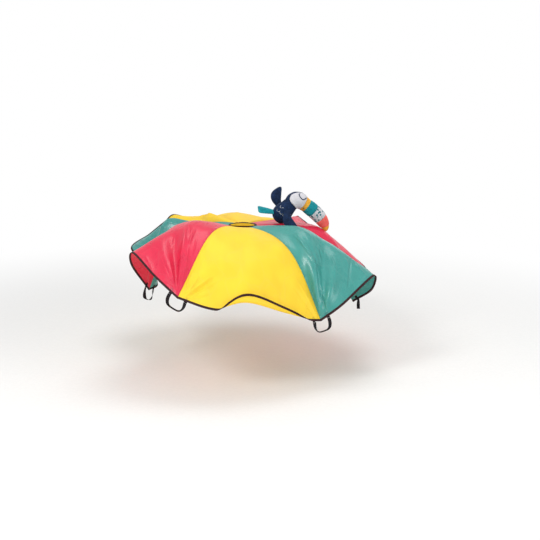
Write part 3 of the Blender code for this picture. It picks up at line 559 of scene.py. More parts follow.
# Sharper creases that the light catches, each from one place on the gore to another: the share
# of the hem and the share of the way in from the hem, then half width and height in mm
lightCreases = {
    "front": (
        (0.030, 0.010, 0.181, 0.256, 7, 9.0), (0.055, 0.018, 0.244, 0.244, 7, 8.5),
        (0.044, 0.040, 0.088, 0.220, 6, 8.1), (0.022, 0.040, 0.025, 0.230, 6, 6.8),
        (0.075, 0.020, 0.200, 0.120, 7, -7.0), (0.040, 0.010, 0.215, 0.262, 6, -6.5),
        (0.975, 0.030, 0.900, 0.280, 7, 4.1), (0.960, 0.020, 0.840, 0.240, 7, -3.4),
    ),
    "front_right": (
        (0.240, 0.620, 0.150, 0.310, 6, 8.0), (0.275, 0.560, 0.185, 0.330, 8, -7.0),
        (0.165, 0.335, 0.088, 0.194, 6, -7.5), (0.088, 0.194, 0.055, 0.012, 6, -6.5),
        (0.120, 0.260, 0.070, 0.050, 6, 4.7), (0.263, 0.600, 0.200, 0.500, 6, 5.4),
        (0.320, 0.445, 0.240, 0.320, 6, 6.8), (0.360, 0.425, 0.312, 0.350, 6, 6.1),
        (0.372, 0.330, 0.281, 0.200, 6, 6.8), (0.410, 0.325, 0.360, 0.250, 6, 5.4),
        (0.370, 0.360, 0.305, 0.290, 6, 4.7), (0.520, 0.205, 0.281, 0.056, 6, -6.8),
        (0.500, 0.150, 0.456, 0.013, 6, 6.1), (0.540, 0.200, 0.456, 0.070, 6, 5.4),
        (0.462, 0.235, 0.432, 0.180, 6, 5.4), (0.620, 0.230, 0.560, 0.040, 8, 5.4),
        (0.930, 0.060, 0.760, 0.420, 9, 4.7), (0.950, 0.120, 0.850, 0.480, 8, -4.1),
    ),
    "back_right": (
        (0.300, 0.740, 0.138, 0.700, 6, 4.7), (0.381, 0.690, 0.140, 0.670, 6, 4.7),
        (0.300, 0.670, 0.140, 0.640, 6, 4.7), (0.240, 0.640, 0.150, 0.600, 6, 4.1),
        (0.200, 0.550, 0.175, 0.460, 6, 4.1), (0.230, 0.400, 0.220, 0.290, 6, 4.1),
        (0.960, 0.050, 0.820, 0.500, 9, 5.4), (0.940, 0.060, 0.700, 0.420, 9, -4.7),
        (0.060, 0.040, 0.260, 0.420, 9, 5.4), (0.500, 0.060, 0.520, 0.450, 12, 4.1),
    ),
    "back": (
        (0.040, 0.030, 0.200, 0.420, 9, 4.1), (0.060, 0.020, 0.330, 0.380, 9, -4.1),
        (0.960, 0.030, 0.800, 0.460, 9, 4.1), (0.940, 0.020, 0.640, 0.360, 9, -4.1),
        (0.460, 0.050, 0.470, 0.520, 14, 4.1),
    ),
    "back_left": (
        (0.530, 0.230, 0.640, 0.170, 7, 6.8), (0.440, 0.050, 0.560, 0.110, 7, 6.1),
        (0.300, 0.040, 0.569, 0.160, 7, 5.4), (0.594, 0.280, 0.756, 0.425, 7, 5.4),
        (0.700, 0.440, 0.725, 0.530, 6, 4.1), (0.794, 0.360, 0.806, 0.480, 6, 4.1),
        (0.620, 0.300, 0.720, 0.520, 8, -4.7), (0.940, 0.050, 0.780, 0.420, 8, 5.4),
        (0.060, 0.050, 0.240, 0.460, 8, 4.7), (0.420, 0.120, 0.480, 0.420, 9, -4.7),
    ),
    "front_left": (
        (0.700, 0.480, 0.888, 0.250, 7, 8.1), (0.860, 0.290, 0.985, 0.030, 8, 8.1),
        (0.925, 0.230, 0.990, 0.050, 6, -6.8), (0.720, 0.500, 0.838, 0.406, 6, 6.1),
        (0.730, 0.540, 0.831, 0.455, 6, 5.4), (0.819, 0.530, 0.881, 0.380, 6, 6.8),
        (0.800, 0.190, 0.970, 0.030, 6, 6.8), (0.880, 0.380, 0.969, 0.200, 6, 5.4),
        (0.906, 0.480, 0.956, 0.350, 6, 4.1), (0.663, 0.370, 0.750, 0.270, 6, 3.4),
        (0.655, 0.060, 0.770, 0.020, 6, 4.1), (0.740, 0.160, 0.960, 0.030, 7, -4.7),
        (0.060, 0.060, 0.240, 0.420, 10, 5.4), (0.070, 0.030, 0.380, 0.330, 9, -4.1),
    ),
}
creaseShape = {"mm": 0.001, "ends": 0.7, "side": 1.5}


def creaseLift(gore):
    lift = np.zeros(flatPlaces.shape[:2])
    mm, ends = creaseShape["mm"], creaseShape["ends"]
    for share0, inward0, share1, inward1, width, height in lightCreases[gore]:
        a, b = (cutPlaces(np.array([share]), np.array([inward * cutLength]))[0, 0]
                for share, inward in ((share0, inward0), (share1, inward1)))
        run = b - a
        t = ((flatPlaces - a) @ run) / (run @ run)
        off = np.abs((flatPlaces - a) @ np.array([run[1], -run[0]])) / np.linalg.norm(run)
        side = np.exp(-(off / (width * mm))**creaseShape["side"])
        lift += height * mm * np.sin(math.pi * np.clip(t, 0, 1))**ends * side
    return lift * openCloth(canopyCut["tapeWidth"])


# where the bird lies, seen from above: the cloth is pressed smooth there
birdSpot = {"seat": (0.2295, 0.009), "headingDegrees": 18, "reach": (-0.05, 0.30),
            "near": 0.06, "far": 0.13}


def besideBird(grid):
    # 0 under the bird, growing to 1 around it
    heading = math.radians(birdSpot["headingDegrees"])
    way = np.array([math.cos(heading), math.sin(heading)])
    off = grid[..., :2] - birdSpot["seat"]
    along = np.clip(off @ way, *birdSpot["reach"])
    away = np.linalg.norm(off - along[..., None] * way, axis=-1)
    return np.clip((away - birdSpot["near"]) / (birdSpot["far"] - birdSpot["near"]), 0, 1)


def makeCanopy():
    grids = {}
    for gore in goreNames:
        grid = goreSheet(gore)
        lift = handLift(gore) + creaseLift(gore) * besideBird(grid)
        grids[gore] = grid + gridNormals(grid) * lift[..., None]
    normals = {gore: gridNormals(grid) for gore, grid in grids.items()}
    for k, gore in enumerate(goreNames):
        after = goreNames[(k + 1) % 6]
        shared = unit(normals[gore][:, -1] + normals[after][:, 0])
        normals[gore][:, -1] = shared
        normals[after][:, 0] = shared
    return grids, normals


grids, normals = makeCanopy()


def clothAt(gore, share, depth, lift=0.0):
    # the cloth's place, and the way up from it, at one share of the hem and depth from it
    j = np.interp(share, fineShares, np.arange(len(fineShares)))
    i = np.interp(-depth, -fineDepths, np.arange(len(fineDepths)))
    i0, j0 = int(min(i, len(fineDepths) - 2)), int(min(j, len(fineShares) - 2))
    a, b = i - i0, j - j0
    place, up = ((1 - a) * (1 - b) * table[i0, j0] + a * (1 - b) * table[i0 + 1, j0]
                 + (1 - a) * b * table[i0, j0 + 1] + a * b * table[i0 + 1, j0 + 1]
                 for table in (grids[gore], normals[gore]))
    return place + unit(up) * lift, unit(up)


edgeMap = np.stack(np.broadcast_arrays(seamOff, fineDepths[:, None]), -1)
for gore in goreNames:
    grid = grids[gore].copy()
    for edge, inner in ((0, 1), (-1, -2)):
        grid[:, edge] += unit(grid[:, inner] - grid[:, edge]) * canopyCut["seamGap"]
    mesh = layGrid("cloth_" + gore, grid, {"cut": flatPlaces, "edge": edgeMap}, flip=True)
    addPiece("cloth_" + gore, mesh, goreColours[gore], "canopy",
                                ["panel_" + gore], canopyCut["thickness"])


# Tape folded over the hem and over the vent
tapeSize = {"thickness": 0.0009, "ease": 0.0007, "round": 5, "noseDegrees": 80, "inNose": 0.9}


def foldedTape(name, row, node):
    # rows run round the ring, columns round the folded tape's closed section
    width = canopyCut["tapeWidth"]
    skin = canopyCut["thickness"] / 2 + tapeSize["ease"]
    outer = skin + tapeSize["thickness"]
    out, back = np.linspace(0, 1, 4), np.linspace(1, 0, 4)
    nose = np.radians(np.linspace(tapeSize["noseDegrees"], -tapeSize["noseDegrees"], tapeSize["round"]))
    sections, edges = [], []
    stations = [(gore, j) for gore in goreNames for j in range(len(fineShares) - 1)]
    for gore, j in [*stations, stations[0]]:
        edge, up = grids[gore][row, j], normals[gore][row, j]
        inner, innerUp = clothAt(gore, fineShares[j], width if row == -1 else cutLength - width)
        outward = unit(edge - inner)
        deep = np.linalg.norm(edge - inner)
        # the outer skin from the top margin over the nose to the bottom margin, then back inside
        route = [(t * deep, outer, t) for t in out]
        route += [(deep + outer * math.cos(turn), outer * math.sin(turn), 1.0) for turn in nose]
        route += [(t * deep, -outer, t) for t in back] + [(t * deep, -skin, t) for t in out]
        route += [(deep + skin * tapeSize["inNose"], 0.0, 1.0)] + [(t * deep, skin, t) for t in back]
        section = [inner + outward * far + unit(innerUp * (1 - t) + up * t) * lift for far, lift, t in route]
        sections.append(section + section[:1])
        edges.append(edge)
    sections = np.array(sections)
    maps = {"tape": mapOf(lengthAlong(np.array(edges)), lengthAlong(sections[0]))}
    return addPiece(name, layGrid(name, sections, maps, weld=True), "tape", "canopy", [node])


rimTape = foldedTape("tape_rim", -1, "rim_binding")
ventTape = foldedTape("tape_vent", 0, "vent_binding")
print("tape: rim and vent")


# Hand loops of webbing: a sewn end under the hem on both sides of each seam, and the loop
strapSize = {
    "width": 0.020, "thickness": 0.0016, "lap": 0.026, "reach": 0.009, "depth": 0.066,
    "grip": 0.034, "place": 0.055, "gap": 0.0003, "edges": (0.35, 0.55), "atEnds": 0.4,
}
halfLoop = ((1.0, 0.0), (1.03, 0.22), (1.02, 0.48), (0.90, 0.76), (0.68, 0.93))


def strapEnd(gore, share):
    # lines of points under the hem, from the webbing's inner end out past the tape
    size = strapSize
    half = size["width"] / 2 / hemLength
    drop = canopyCut["thickness"] / 2 + tapeSize["ease"] + tapeSize["thickness"]
    drop += size["thickness"] / 2 + 2 * size["gap"]
    lines, ups = [], []
    for across in np.linspace(-half, half, 7):
        found = [clothAt(gore, share + across, depth, -drop) for depth in np.linspace(size["lap"], 0, 9)]
        points, ways = [point for point, _ in found], [up for _, up in found]
        past = unit(points[-1] - points[-3]) * (tapeSize["ease"] + 2 * tapeSize["thickness"])
        lines.append([*points, points[-1] + past])
        ups.append([*ways, ways[-1]])
    lines, ups = np.array(lines), np.array(ups)
    first, last = lines[0], lines[-1]
    outward = unit(unit(first[8] - first[4]) + unit(last[8] - last[4]))
    return {"lines": lines, "ups": ups, "tip": (first[8] + last[8]) / 2 + outward * size["reach"],
            "outward": outward, "up": unit(ups[0, 8] + ups[-1, 8])}


def barSection(place, wide, thin, width, thickness):
    # a flat bar's outline with rounded edges, closed on its first point
    outline = []
    for turn in 2 * math.pi * (np.arange(16) + 0.5) / 16:
        x, z = math.cos(turn), math.sin(turn)
        x = math.copysign(abs(x)**strapSize["edges"][0], x)
        z = math.copysign(abs(z)**strapSize["edges"][1], z)
        outline.append(place + wide * x * width / 2 + thin * z * thickness / 2)
    return outline + outline[:1]


def webbingBar(name, sections, body, node):
    # closed at both ends by drawing the last section in to its middle
    middles = [np.mean(section[:-1], axis=0) for section in sections]
    along = lengthAlong(np.array(middles))
    points = np.array([[middles[0]] * len(sections[0]), *sections, [middles[-1]] * len(sections[0])])
    maps = {"tape": mapOf(np.concatenate([along[:1], along, along[-1:]]), lengthAlong(points[1]))}
    addPiece(name, layGrid(name, points, maps, weld=True), "webbing", body, [node])


def loopSections(line, axis, down):
    size = strapSize
    span = np.linalg.norm(line[1] - line[0])
    middle = (line[0] + line[1]) / 2
    facing = np.cross(axis, down)
    halfGrip = min(size["grip"], 0.5 * span) / 2
    route = [(-across * span / 2, deep * size["depth"]) for across, deep in halfLoop]
    route.append((-halfGrip, size["depth"]))
    route = route + [(-across, deep) for across, deep in reversed(route)]
    fine = smoothLine(route, 45)
    along = lengthAlong(fine)
    shares, gripShare = along / along[-1], 0.5 - halfGrip / along[-1]
    runs = unit(np.gradient(fine, axis=0))
    runs[0], runs[-1] = (0, 1), (0, -1)
    sections = []
    for (across, deep), run, share in zip(fine, runs, shares):
        # from flat against the sewn end it turns a quarter round until it faces the hand
        toGrip = min(share, 1 - share, gripShare) / gripShare
        turn = math.pi / 2 * (3 * toGrip**2 - 2 * toGrip**3)
        beside = axis * run[1] - down * run[0]
        wide = beside * math.cos(turn) + facing * math.sin(turn)
        thin = np.cross(axis * run[0] + down * run[1], wide)
        thickness = size["thickness"] * min(1, size["atEnds"] + toGrip)
        sections.append(barSection(middle + axis * across + down * deep, wide, thin, size["width"], thickness))
    return sections


def makeHandle(corner):
    k = cornerNames.index(corner)
    size = strapSize
    ends = [strapEnd(goreNames[k - 1], 1 - size["place"]), strapEnd(goreNames[k], size["place"])]
    axis = unit(ends[1]["tip"] - ends[0]["tip"])
    outward = squareTo(ends[0]["outward"] + ends[1]["outward"], axis)
    for end, side in zip(ends, "ab"):
        first, last = end["lines"][0], end["lines"][-1]
        sections = []
        for left, right, middle, up in zip(first, last, end["lines"][3], end["ups"][3]):
            way = unit(right - left)
            sections.append(barSection(middle, way, squareTo(up, way), np.linalg.norm(right - left),
                                       size["thickness"]))
        way = axis if np.dot(axis, last[-1] - first[-1]) > 0 else -axis
        sections.append(barSection(end["tip"], way, squareTo(end["up"], axis), size["width"],
                                   size["thickness"]))
        webbingBar(f"webbing_{corner}_{side}", sections, "canopy", f"strap_end_{corner}_{side}")
    line = [end["tip"] + outward * (size["thickness"] / 2 + size["gap"]) for end in ends]
    sections = loopSections(line, axis, squareTo(np.array([0, 0, -1]), axis))
    webbingBar("loop_" + corner, sections, "handle_" + corner, "handle_" + corner)


for corner in cornerNames:
    makeHandle(corner)


# Bar tacks: each sewn end shows on the cloth as a box of thread with a cross in it
tackSize = {"wide": 0.0150, "from": 0.0145, "to": 0.0245, "stitch": 0.0026, "thick": 0.0009,
            "lift": 0.0005}


def stitchLine(points, ups, step, fill=0.72):
    # stitches of one length along a line of points
    points, ups = np.array(points), np.array(ups)
    along = lengthAlong(points)
    count = max(1, round(along[-1] / step))
    made = []
    for k in range(count):
        a, b = ((k + share) * along[-1] / count for share in ((1 - fill) / 2, (1 + fill) / 2))
        made.append((*(pointAt(points, along, end) for end in (a, b)), pointAt(ups, along, (a + b) / 2)))
    return made


def boxTack(gore, share):
    half = tackSize["wide"] / 2 / hemLength
    near, far = tackSize["from"], tackSize["to"]
    corners = np.array([(share - half, near), (share + half, near), (share + half, far), (share - half, far)])
    made = []
    for a, b in ((0, 1), (1, 2), (2, 3), (3, 0), (0, 2), (1, 3)):
        route = [clothAt(gore, *(corners[a] * (1 - t) + corners[b] * t), tackSize["lift"])
                 for t in np.linspace(0, 1, 9)]
        made += stitchLine([p for p, _ in route], [u for _, u in route], tackSize["stitch"])
    return made


tacks = {"dark": [], "ochre": []}
for k in range(len(cornerNames)):
    for gore, share in ((goreNames[k - 1], 1 - strapSize["place"]), (goreNames[k], strapSize["place"])):
        tacks["ochre" if goreColours[gore] == "yellow" else "dark"] += boxTack(gore, share)
tackPieces = [addStitches("tacks_" + shade, made, shade + "Thread", "canopy", tackSize["thick"])
              for shade, made in tacks.items()]
print("handles:", len(cornerNames), "with", sum(map(len, tacks.values())), "tack stitches")


# Stuffed toucan: its middle line, as shares of its length, and how it lies on the cloth
birdLength = 0.450
birdSize = {
    "bodyDepth": 0.268 * birdLength, "bodyWidth": 0.249 * birdLength,
    "beakDepth": 0.202 * birdLength, "beakWidth": 0.162 * birdLength,
    "crown": 0.095 * birdLength, "tiltDegrees": 5.7, "around": 96, "rowsEach": 14,
}
bodyLine = (
    (-0.079, 0.051, 0.020, 40), (-0.073, 0.057, 0.175, 40), (-0.056, 0.072, 0.318, 40),
    (-0.028, 0.097, 0.437, 40), (0.007, 0.128, 0.497, 40), (0.041, 0.158, 0.497, 40),
    (0.081, 0.190, 0.462, 39), (0.119, 0.219, 0.420, 39), (0.159, 0.251, 0.399, 38),
    (0.199, 0.284, 0.420, 22), (0.252, 0.294, 0.437, 0), (0.305, 0.278, 0.423, -23),
    (0.336, 0.245, 0.392, -40),
)
beakLine = (
    (0.364, 0.218, 0.495, -43), (0.388, 0.196, 0.490, -44), (0.435, 0.152, 0.505, -45),
    (0.481, 0.106, 0.509, -47), (0.533, 0.049, 0.500, -50), (0.579, -0.015, 0.472, -57),
    (0.615, -0.082, 0.407, -65), (0.636, -0.136, 0.315, -75), (0.642, -0.173, 0.208, -86),
    (0.641, -0.199, 0.106, -93), (0.639, -0.208, 0.023, -96),
)
birdPieces = {
    "body": (0, 8, "navy"), "head": (8, 12, "navy"), "beak_base": (12, 14, "ochre"),
    "beak_second": (14, 16, "tealPile"), "beak_spotted": (16, 18, "spotted"),
    "beak_fourth": (18, 20, "coral"), "beak_tip": (20, 23, "ochre"),
}
# its stations: place, half depth, half width and slope
lineOfBird = np.array([
    (birdLength * x, 0, birdLength * z, birdSize[cloth + "Depth"] * r, birdSize[cloth + "Width"] * r,
     math.radians(slope))
    for cloth, table in (("body", bodyLine), ("beak", beakLine)) for x, z, r, slope in table])


def birdSkin(rows, angles, grow=0.0):
    rows, angles = np.broadcast_arrays(np.asarray(rows, float), np.asarray(angles, float))
    at = smoothAt(lineOfBird, rows)
    up = np.stack([-np.sin(at[..., 5]), 0 * rows, np.cos(at[..., 5])], -1)
    high = (np.sin(angles) * (at[..., 3] + grow))[..., None]
    wide = (np.cos(angles) * (at[..., 4] + grow))[..., None]
    return at[..., :3] + np.array([0, 1, 0]) * wide + up * high


# the height that the CAD bird was set down at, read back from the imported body
tilt = Matrix.Rotation(math.radians(birdSpot["headingDegrees"]), 4, "Z")
tilt = tilt @ Matrix.Rotation(-math.radians(birdSize["tiltDegrees"]), 4, "Y")
lowest = min((tilt @ Vector(point)).z for point in birdSkin(
    np.linspace(0, 8, 17)[:, None], np.linspace(0, 2 * math.pi, 17)[:-1]).reshape(-1, 3))
birdPlace = Matrix.Translation((*birdSpot["seat"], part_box("toucan_body")[0].z - lowest)) @ tilt


def placed(points):
    return points @ np.array(birdPlace.to_3x3()).T + np.array(birdPlace.translation)


# Stuffed cloth: how far a seam draws it in, the puckers beside it, and the uneven filling
stuffing = {
    "pinch": 0.0068 * birdLength, "pinchFade": 0.0035, "pucker": 0.0005, "puckerFade": 0.007,
    "swell": 0.0011, "wave": 0.050, "slack": 0.0008, "waves": 14,
}


def softBumps(points, wave, seed):
    # slow uneven swelling of stuffing, from a few waves in fixed directions
    chance = np.random.default_rng(seed)
    total = 0
    for _ in range(stuffing["waves"]):
        way = unit(chance.normal(size=3)) * chance.uniform(0.7, 1.6) * 2 * math.pi / wave
        total = total + np.sin(points @ way + chance.uniform(0, 6.28))
    return total / stuffing["waves"]


def stuffedPart(name, first, last, finish):
    look = stuffing
    rows = np.linspace(first, last, birdSize["rowsEach"] * (last - first) + 1)
    angles = np.linspace(0, 2 * math.pi, birdSize["around"] + 1)
    at = smoothAt(lineOfBird, rows)
    along = lengthAlong(at[:, :3])
    # each sewn end is drawn in, and the seam puckers the pile beside it
    fromEnd = np.minimum(along + (1 if first == 0 else 0), along[-1] - along + (1 if last == 23 else 0))
    pinch = look["pinch"] * np.exp(-(fromEnd / look["pinchFade"]))[:, None]
    pucker = look["pucker"] * np.exp(-(fromEnd / look["puckerFade"]))[:, None]
    swell = softBumps(birdSkin(rows[:, None], angles), look["wave"], first + 3)
    swell[:, -1] = swell[:, 0]
    grow = pucker * np.sin(angles * 26 + 3 * np.sin(angles * 5)) - pinch
    grow = grow + look["swell"] * swell - look["slack"]
    grow = np.maximum(grow, -0.75 * np.minimum(at[:, 3], at[:, 4])[:, None])
    points = drawnShut(birdSkin(rows[:, None], angles, grow))
    girth = angles * 0.5 * birdSize["beakDepth" if first >= 12 else "bodyDepth"]
    maps = {"skin": mapOf(np.concatenate([along[:1], along, along[-1:]]), girth)}
    mesh = layGrid("plush_" + name, placed(points), maps, weld=True)
    addPiece("plush_" + name, mesh, finish, "toucan", ["toucan_" + name])


for name, (first, last, finish) in birdPieces.items():
    stuffedPart(name, first, last, finish)

# Pale face patches: where they start and end on the middle line, the angles that they cover, and
# how far they stand off the head inside their turned edge
patchSize = {
    "start": 8.1, "rounded": 1.1, "end": 11.93, "degrees": (-84, 90), "lift": 0.0056 * birdLength,
    "under": 0.0002, "edge": 0.0022, "cloth": (0.05, 0.04), "thickness": 0.0008, "seed": 11,
}


def facePatch(side):
    size = patchSize
    share, along = np.linspace(-1, 1, 49), np.linspace(0, 1, 41)
    angles = np.radians(np.linspace(*size["degrees"], 49))
    angles = angles - np.linspace(0, birdSize["crown"] / birdSize["bodyDepth"], 49)
    if side == "right":
        angles = math.pi - angles
    start = size["start"] + size["rounded"] * share**4
    rows = start + (size["end"] - start) * along[:, None]
    swell = softBumps(birdSkin(rows, angles), stuffing["wave"], size["seed"])
    long, wide = size["cloth"]
    edge = np.minimum(np.minimum(along, 1 - along)[:, None] * long, (1 - np.abs(share)) * wide)
    lift = size["lift"] * np.clip(edge / size["edge"], 0, 1)**0.5 - size["under"]
    outer = birdSkin(rows, angles, lift + stuffing["swell"] * swell - stuffing["slack"])
    maps = {"skin": mapOf(along * long, angles * wide)}
    mesh = layGrid("plush_face_" + side, placed(outer), maps, flip=side == "left")
    piece = addPiece("plush_face_" + side, mesh, "white", "toucan", ["toucan_face_" + side],
                     size["thickness"])


for side in ("left", "right"):
    facePatch(side)
print("toucan: body, head, face and beak")


# Wings, tail and feet: flat stuffed pieces of two cloths sewn round their edge. Each line has the
# share of the length, then width, sideways shift and thickness as shares of the piece's own
wingSize = {
    "length": 0.305 * birdLength, "width": 0.156 * birdLength, "thickness": 0.044 * birdLength,
    "rootRadius": 0.0093 * birdLength, "rootIn": 0.0014, "row": 5.3, "seatDegrees": 10,
    "rise": {"left": 62, "right": -52}, "seed": {"left": 5, "right": 6},
}
wingLine = (
    (-0.016, 0.48, 0.00, 0.10), (0.00, 0.50, 0.00, 0.20), (0.06, 0.54, -0.03, 0.42),
    (0.16, 0.62, -0.09, 0.66), (0.36, 0.82, -0.18, 0.96), (0.55, 0.98, -0.15, 1.00),
    (0.74, 0.98, -0.03, 0.90), (0.87, 0.80, 0.15, 0.70), (0.96, 0.46, 0.33, 0.45),
    (1.00, 0.16, 0.40, 0.12),
)
tailSize = {
    "length": 0.218 * birdLength, "width": 0.125 * birdLength, "thickness": 0.040 * birdLength,
    "row": 4.5, "riseDegrees": 18, "rollDegrees": 40, "pleats": 5, "seed": 8,
}
tailLine = (
    (-0.26, 0.60, 0, 0.60), (0.00, 0.66, 0, 0.80), (0.30, 0.80, 0, 1.00), (0.60, 0.92, 0, 0.95),
    (0.86, 1.00, 0, 0.80), (0.96, 0.92, 0, 0.55), (1.00, 0.74, 0, 0.20),
)
footSize = {"length": 0.106 * birdLength, "width": 0.075 * birdLength, "thickness": 0.056 * birdLength,
            "place": (0.38, 0.50, -0.78)}
leafSeam = {"lens": 1.15, "ripple": 0.10, "ripples": 34, "fade": 6, "pleat": 0.16, "swell": 0.0009,
            "wave": 0.045}


def stuffedLeaf(name, table, size, root, axes, finish, body, node, pleats, seed):
    seam = leafSeam
    turn = np.linspace(0, 2 * math.pi, 65)
    share, wide, shift, thick = (column[:, None] for column in smoothLine(table, 60).T)
    y = shift * size["width"] + np.maximum(wide, 0.02) * size["width"] / 2 * np.cos(turn)
    # two cloths meet at a sharp seam: the section is a lens, drawn in beside its stitches
    lens = np.sign(np.sin(turn)) * np.abs(np.sin(turn))**seam["lens"]
    z = lens * np.maximum(thick, 0.05) * size["thickness"] / 2
    beside = np.exp(-(1 - np.abs(np.cos(turn))) * seam["fade"])
    z = z * (1 + seam["ripple"] * np.sin(share * seam["ripples"] + 2 * np.cos(turn)) * beside)
    if pleats:
        grooves = np.cos(np.cos(turn) * math.pi * pleats)
        z = z * (1 + seam["pleat"] * grooves * np.clip(share * 2.5, 0, 1))
    points = np.stack([share * size["length"] + 0 * turn, y, z], -1)
    swell = softBumps(points, seam["wave"], seed)
    swell[:, -1] = swell[:, 0]
    points[..., 2] += seam["swell"] * swell * np.clip(thick, 0, 1) * np.sin(turn)**2
    points = drawnShut(points)
    mesh = layGrid(name, placed(root + points @ np.array(axes)), {"skin": points[..., :2]}, weld=True)
    addPiece(name, mesh, finish, body, [node])


seat = math.radians(wingSize["seatDegrees"])
at = smoothAt(lineOfBird, wingSize["row"])
root = np.array([0, math.cos(seat), math.sin(seat)])
root = at[:3] + root * (wingSize["rootRadius"] - wingSize["rootIn"] + np.array([0, at[4], at[3]]))
for side, mirror in (("left", (1, 1, 1)), ("right", (1, -1, 1))):
    rise = math.radians(wingSize["rise"][side])
    outward = np.array([0, math.cos(rise), math.sin(rise)]) * mirror
    normal = np.array([0, -math.sin(rise), math.cos(rise)]) * mirror
    stuffedLeaf("plush_wing_" + side, wingLine, wingSize, root * mirror, [outward, [1, 0, 0], normal],
                "navy", "toucan_wing_" + side, "toucan_wing_" + side, 0, wingSize["seed"][side])

rise, roll = math.radians(tailSize["riseDegrees"]), math.radians(tailSize["rollDegrees"])
back = np.array([-math.cos(rise), 0, math.sin(rise)])
wide = np.array([0, 1, 0]) * math.cos(roll) + np.array([math.sin(rise), 0, math.cos(rise)]) * math.sin(roll)
at = smoothAt(lineOfBird, tailSize["row"])
stuffedLeaf("plush_tail", tailLine, tailSize, at[:3] + back * at[3], [back, wide, np.cross(back, wide)],
            "tealPile", "toucan", "toucan_tail", tailSize["pleats"], tailSize["seed"])

for side, across in (("left", at[4]), ("right", -at[4])):
    place = unit(np.array(footSize["place"])) * (at[3], across, at[3])
    work = bmesh.new()
    bmesh.ops.create_uvsphere(work, u_segments=48, v_segments=28, radius=0.5)
    size = Matrix.Diagonal((footSize["length"], footSize["width"], footSize["thickness"], 1))
    move = birdPlace @ Matrix.Translation(Vector(at[:3] + place)) @ size
    bmesh.ops.transform(work, verts=work.verts, matrix=move)
    mesh = meshFrom(work, bpy.data.meshes.new("plush_foot_" + side))
    mesh.uv_layers.new(name="skin")
    addPiece("plush_foot_" + side, mesh, "ochre", "toucan", ["toucan_foot_" + side])
print("toucan: wings, tail and feet")


# Needlework on the bird: rows of sewn scallops, closed eyes and nostrils. Each rope of satin
# stitch has its route, its number of points, its lift off the skin and its thickness
sewing = {
    "scallopRows": ((4.3, 4), (5.7, 4)), "scallopDeep": 0.55, "scallopTurn": 24, "firstAngle": -34,
    "scallopLift": -0.0002, "stitch": 0.0070, "fill": 0.88, "thread": 0.0021, "clear": 0.026,
    "ropes": {
        "eye": (((10.34, 54), (10.14, 44), (10.20, 30), (10.50, 17), (10.86, 13), (11.20, 21),
                 (11.46, 33), (11.62, 39)), 60, 0.0022, 0.0060),
        "nostril": (((12.45, -34), (12.95, -38), (13.55, -44)), 16, -0.0004, 0.0040),
    },
}


def skinRoute(rows, angles, side, lift):
    # a route over the skin on one side of the bird, and the way up from each of its points
    angles = angles if side > 0 else math.pi - angles
    points, inner = (placed(birdSkin(rows, angles, height)) for height in (lift, lift - 0.004))
    return points, unit(points - inner)


scallops = []
t = np.linspace(0, math.pi, 17)
for side in (1, -1):
    root = placed(birdSkin(wingSize["row"], seat) * (1, side, 1))
    for row, count in sewing["scallopRows"]:
        for k in range(count):
            angles = np.radians(sewing["firstAngle"] + sewing["scallopTurn"] * (k + 0.5 - 0.46 * np.cos(t)))
            route = skinRoute(row - sewing["scallopDeep"] * np.sin(t), angles, side, sewing["scallopLift"])
            scallops += [stitch for stitch in stitchLine(*route, sewing["stitch"], sewing["fill"])
                         if np.linalg.norm(stitch[0] - root) > sewing["clear"]]
addStitches("needlework_scallops", scallops, "paleThread", "toucan", sewing["thread"])


def threadRope(name, points, thick):
    curve = bpy.data.curves.new(name, "CURVE")
    curve.dimensions = "3D"
    curve.bevel_depth = thick / 2
    curve.bevel_resolution = 4
    curve.use_fill_caps = True
    spline = curve.splines.new("POLY")
    spline.points.add(len(points) - 1)
    for point, place in zip(spline.points, points):
        point.co = (*place, 1.0)
    made = bpy.data.objects.new(name, curve)
    mesh = bpy.data.meshes.new_from_object(made)
    bpy.data.objects.remove(made)
    mesh.shade_smooth()
    addPiece(name, mesh, "navyThread", "toucan")


for side, label in ((1, "left"), (-1, "right")):
    for kind, (line, count, lift, thick) in sewing["ropes"].items():
        rows, degrees = smoothLine(line, count).T
        points, _ = skinRoute(rows, np.radians(degrees), side, lift)
        threadRope(f"needlework_{kind}_{label}", points, thick)
print("needlework:", len(scallops), "scallop stitches")


# Floor, light and camera
studio = {
    "floorZ": -0.56, "floorColour": (0.80, 0.80, 0.79), "fadeFrom": 1.4, "fadeTo": 4.0, "world": 0.62,
    "lamps": {
        "key": ((-2.6, -3.4, 3.4), 1.7, 118), "fill": ((3.4, -3.0, 1.6), 2.4, 60),
        "top": ((0.6, 0.2, 4.2), 2.6, 60), "rim": ((1.8, 3.4, 2.4), 2.4, 22),
        "low": ((-1.4, -4.4, 0.0), 1.0, 28),
    },
    "lens": 75, "distance": 6.85, "elevation": 10.5, "vent": (-0.009, -0.063, 0.306),
    "ventPixel": (242.5, 225.0), "frame": 540,
}


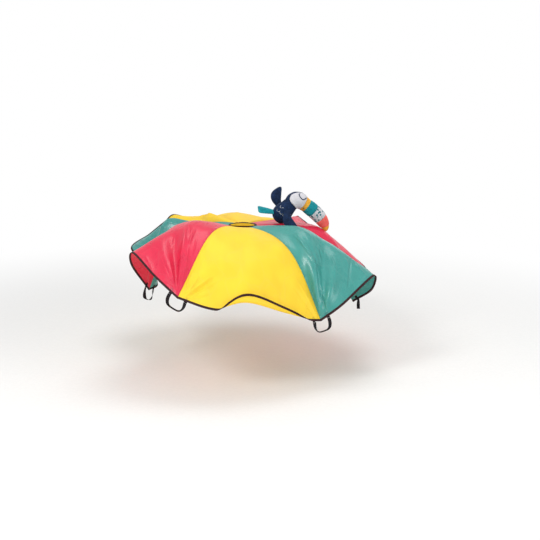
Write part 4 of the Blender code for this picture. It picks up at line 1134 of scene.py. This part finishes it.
def floorFinish():
    floor = Finish("studioFloor")
    where = floor.place()
    spread = floor.add("ShaderNodeVectorMath", {"operation": "LENGTH"}, [where])
    grain = floor.noise(where, 60.0, 4.0)
    tones = [tint(studio["floorColour"], times) for times in (0.985, 1.01)]
    base = floor.blend(floor.fade(grain, 0.3, 0.7), *tones)
    lit = floor.add("ShaderNodeBsdfDiffuse", {}, {"Color": base})
    white = floor.add("ShaderNodeEmission", {}, {"Color": (1, 1, 1, 1), "Strength": 1.0})
    # far off the floor fades to white for what looks at it, and sheds no light of its own
    far = floor.fade(spread.part(1), studio["fadeFrom"], studio["fadeTo"]) * floor.looks()
    both = floor.add("ShaderNodeMixShader", {}, [far, lit, white])
    floor.add("ShaderNodeOutputMaterial", {}, {"Surface": both})
    return floor.material


work = bmesh.new()
bmesh.ops.create_grid(work, x_segments=8, y_segments=8, size=30.0)
bmesh.ops.translate(work, verts=work.verts, vec=(0, 0, studio["floorZ"]))
floor = addObject("floor", meshFrom(work, bpy.data.meshes.new("floor")))
floor.data.materials.append(floorFinish())

sky = Finish("studio", bpy.data.worlds.new("studio"))
strength = sky.looks() * (1 - studio["world"]) + studio["world"]
white = sky.add("ShaderNodeBackground", {}, {"Color": (1, 1, 1, 1), "Strength": strength})
sky.add("ShaderNodeOutputWorld", {}, {"Surface": white})
bpy.context.scene.world = sky.material

for name, (place, size, power) in studio["lamps"].items():
    data = bpy.data.lights.new(name, "AREA")
    data.shape = "DISK"
    data.size = size
    data.energy = power
    lamp = addObject(name, data)
    lamp.location = place
    lamp.rotation_euler = (Vector((0, 0, 0.1)) - lamp.location).to_track_quat("-Z", "Y").to_euler()

raised = math.radians(studio["elevation"])
looking = Vector((0, math.cos(raised), -math.sin(raised)))
data = bpy.data.cameras.new("camera")
data.lens = studio["lens"]
data.sensor_width = 36
data.shift_x = 0.5 - studio["ventPixel"][0] / studio["frame"]
data.shift_y = studio["ventPixel"][1] / studio["frame"] - 0.5
data.clip_end = 100
camera = addObject("camera", data)
camera.location = Vector(studio["vent"]) - looking * studio["distance"]
camera.rotation_euler = looking.to_track_quat("-Z", "Y").to_euler()
bpy.context.scene.camera = camera
bpy.context.scene.view_settings.view_transform = "Standard"
print("studio: floor, lamps and camera")
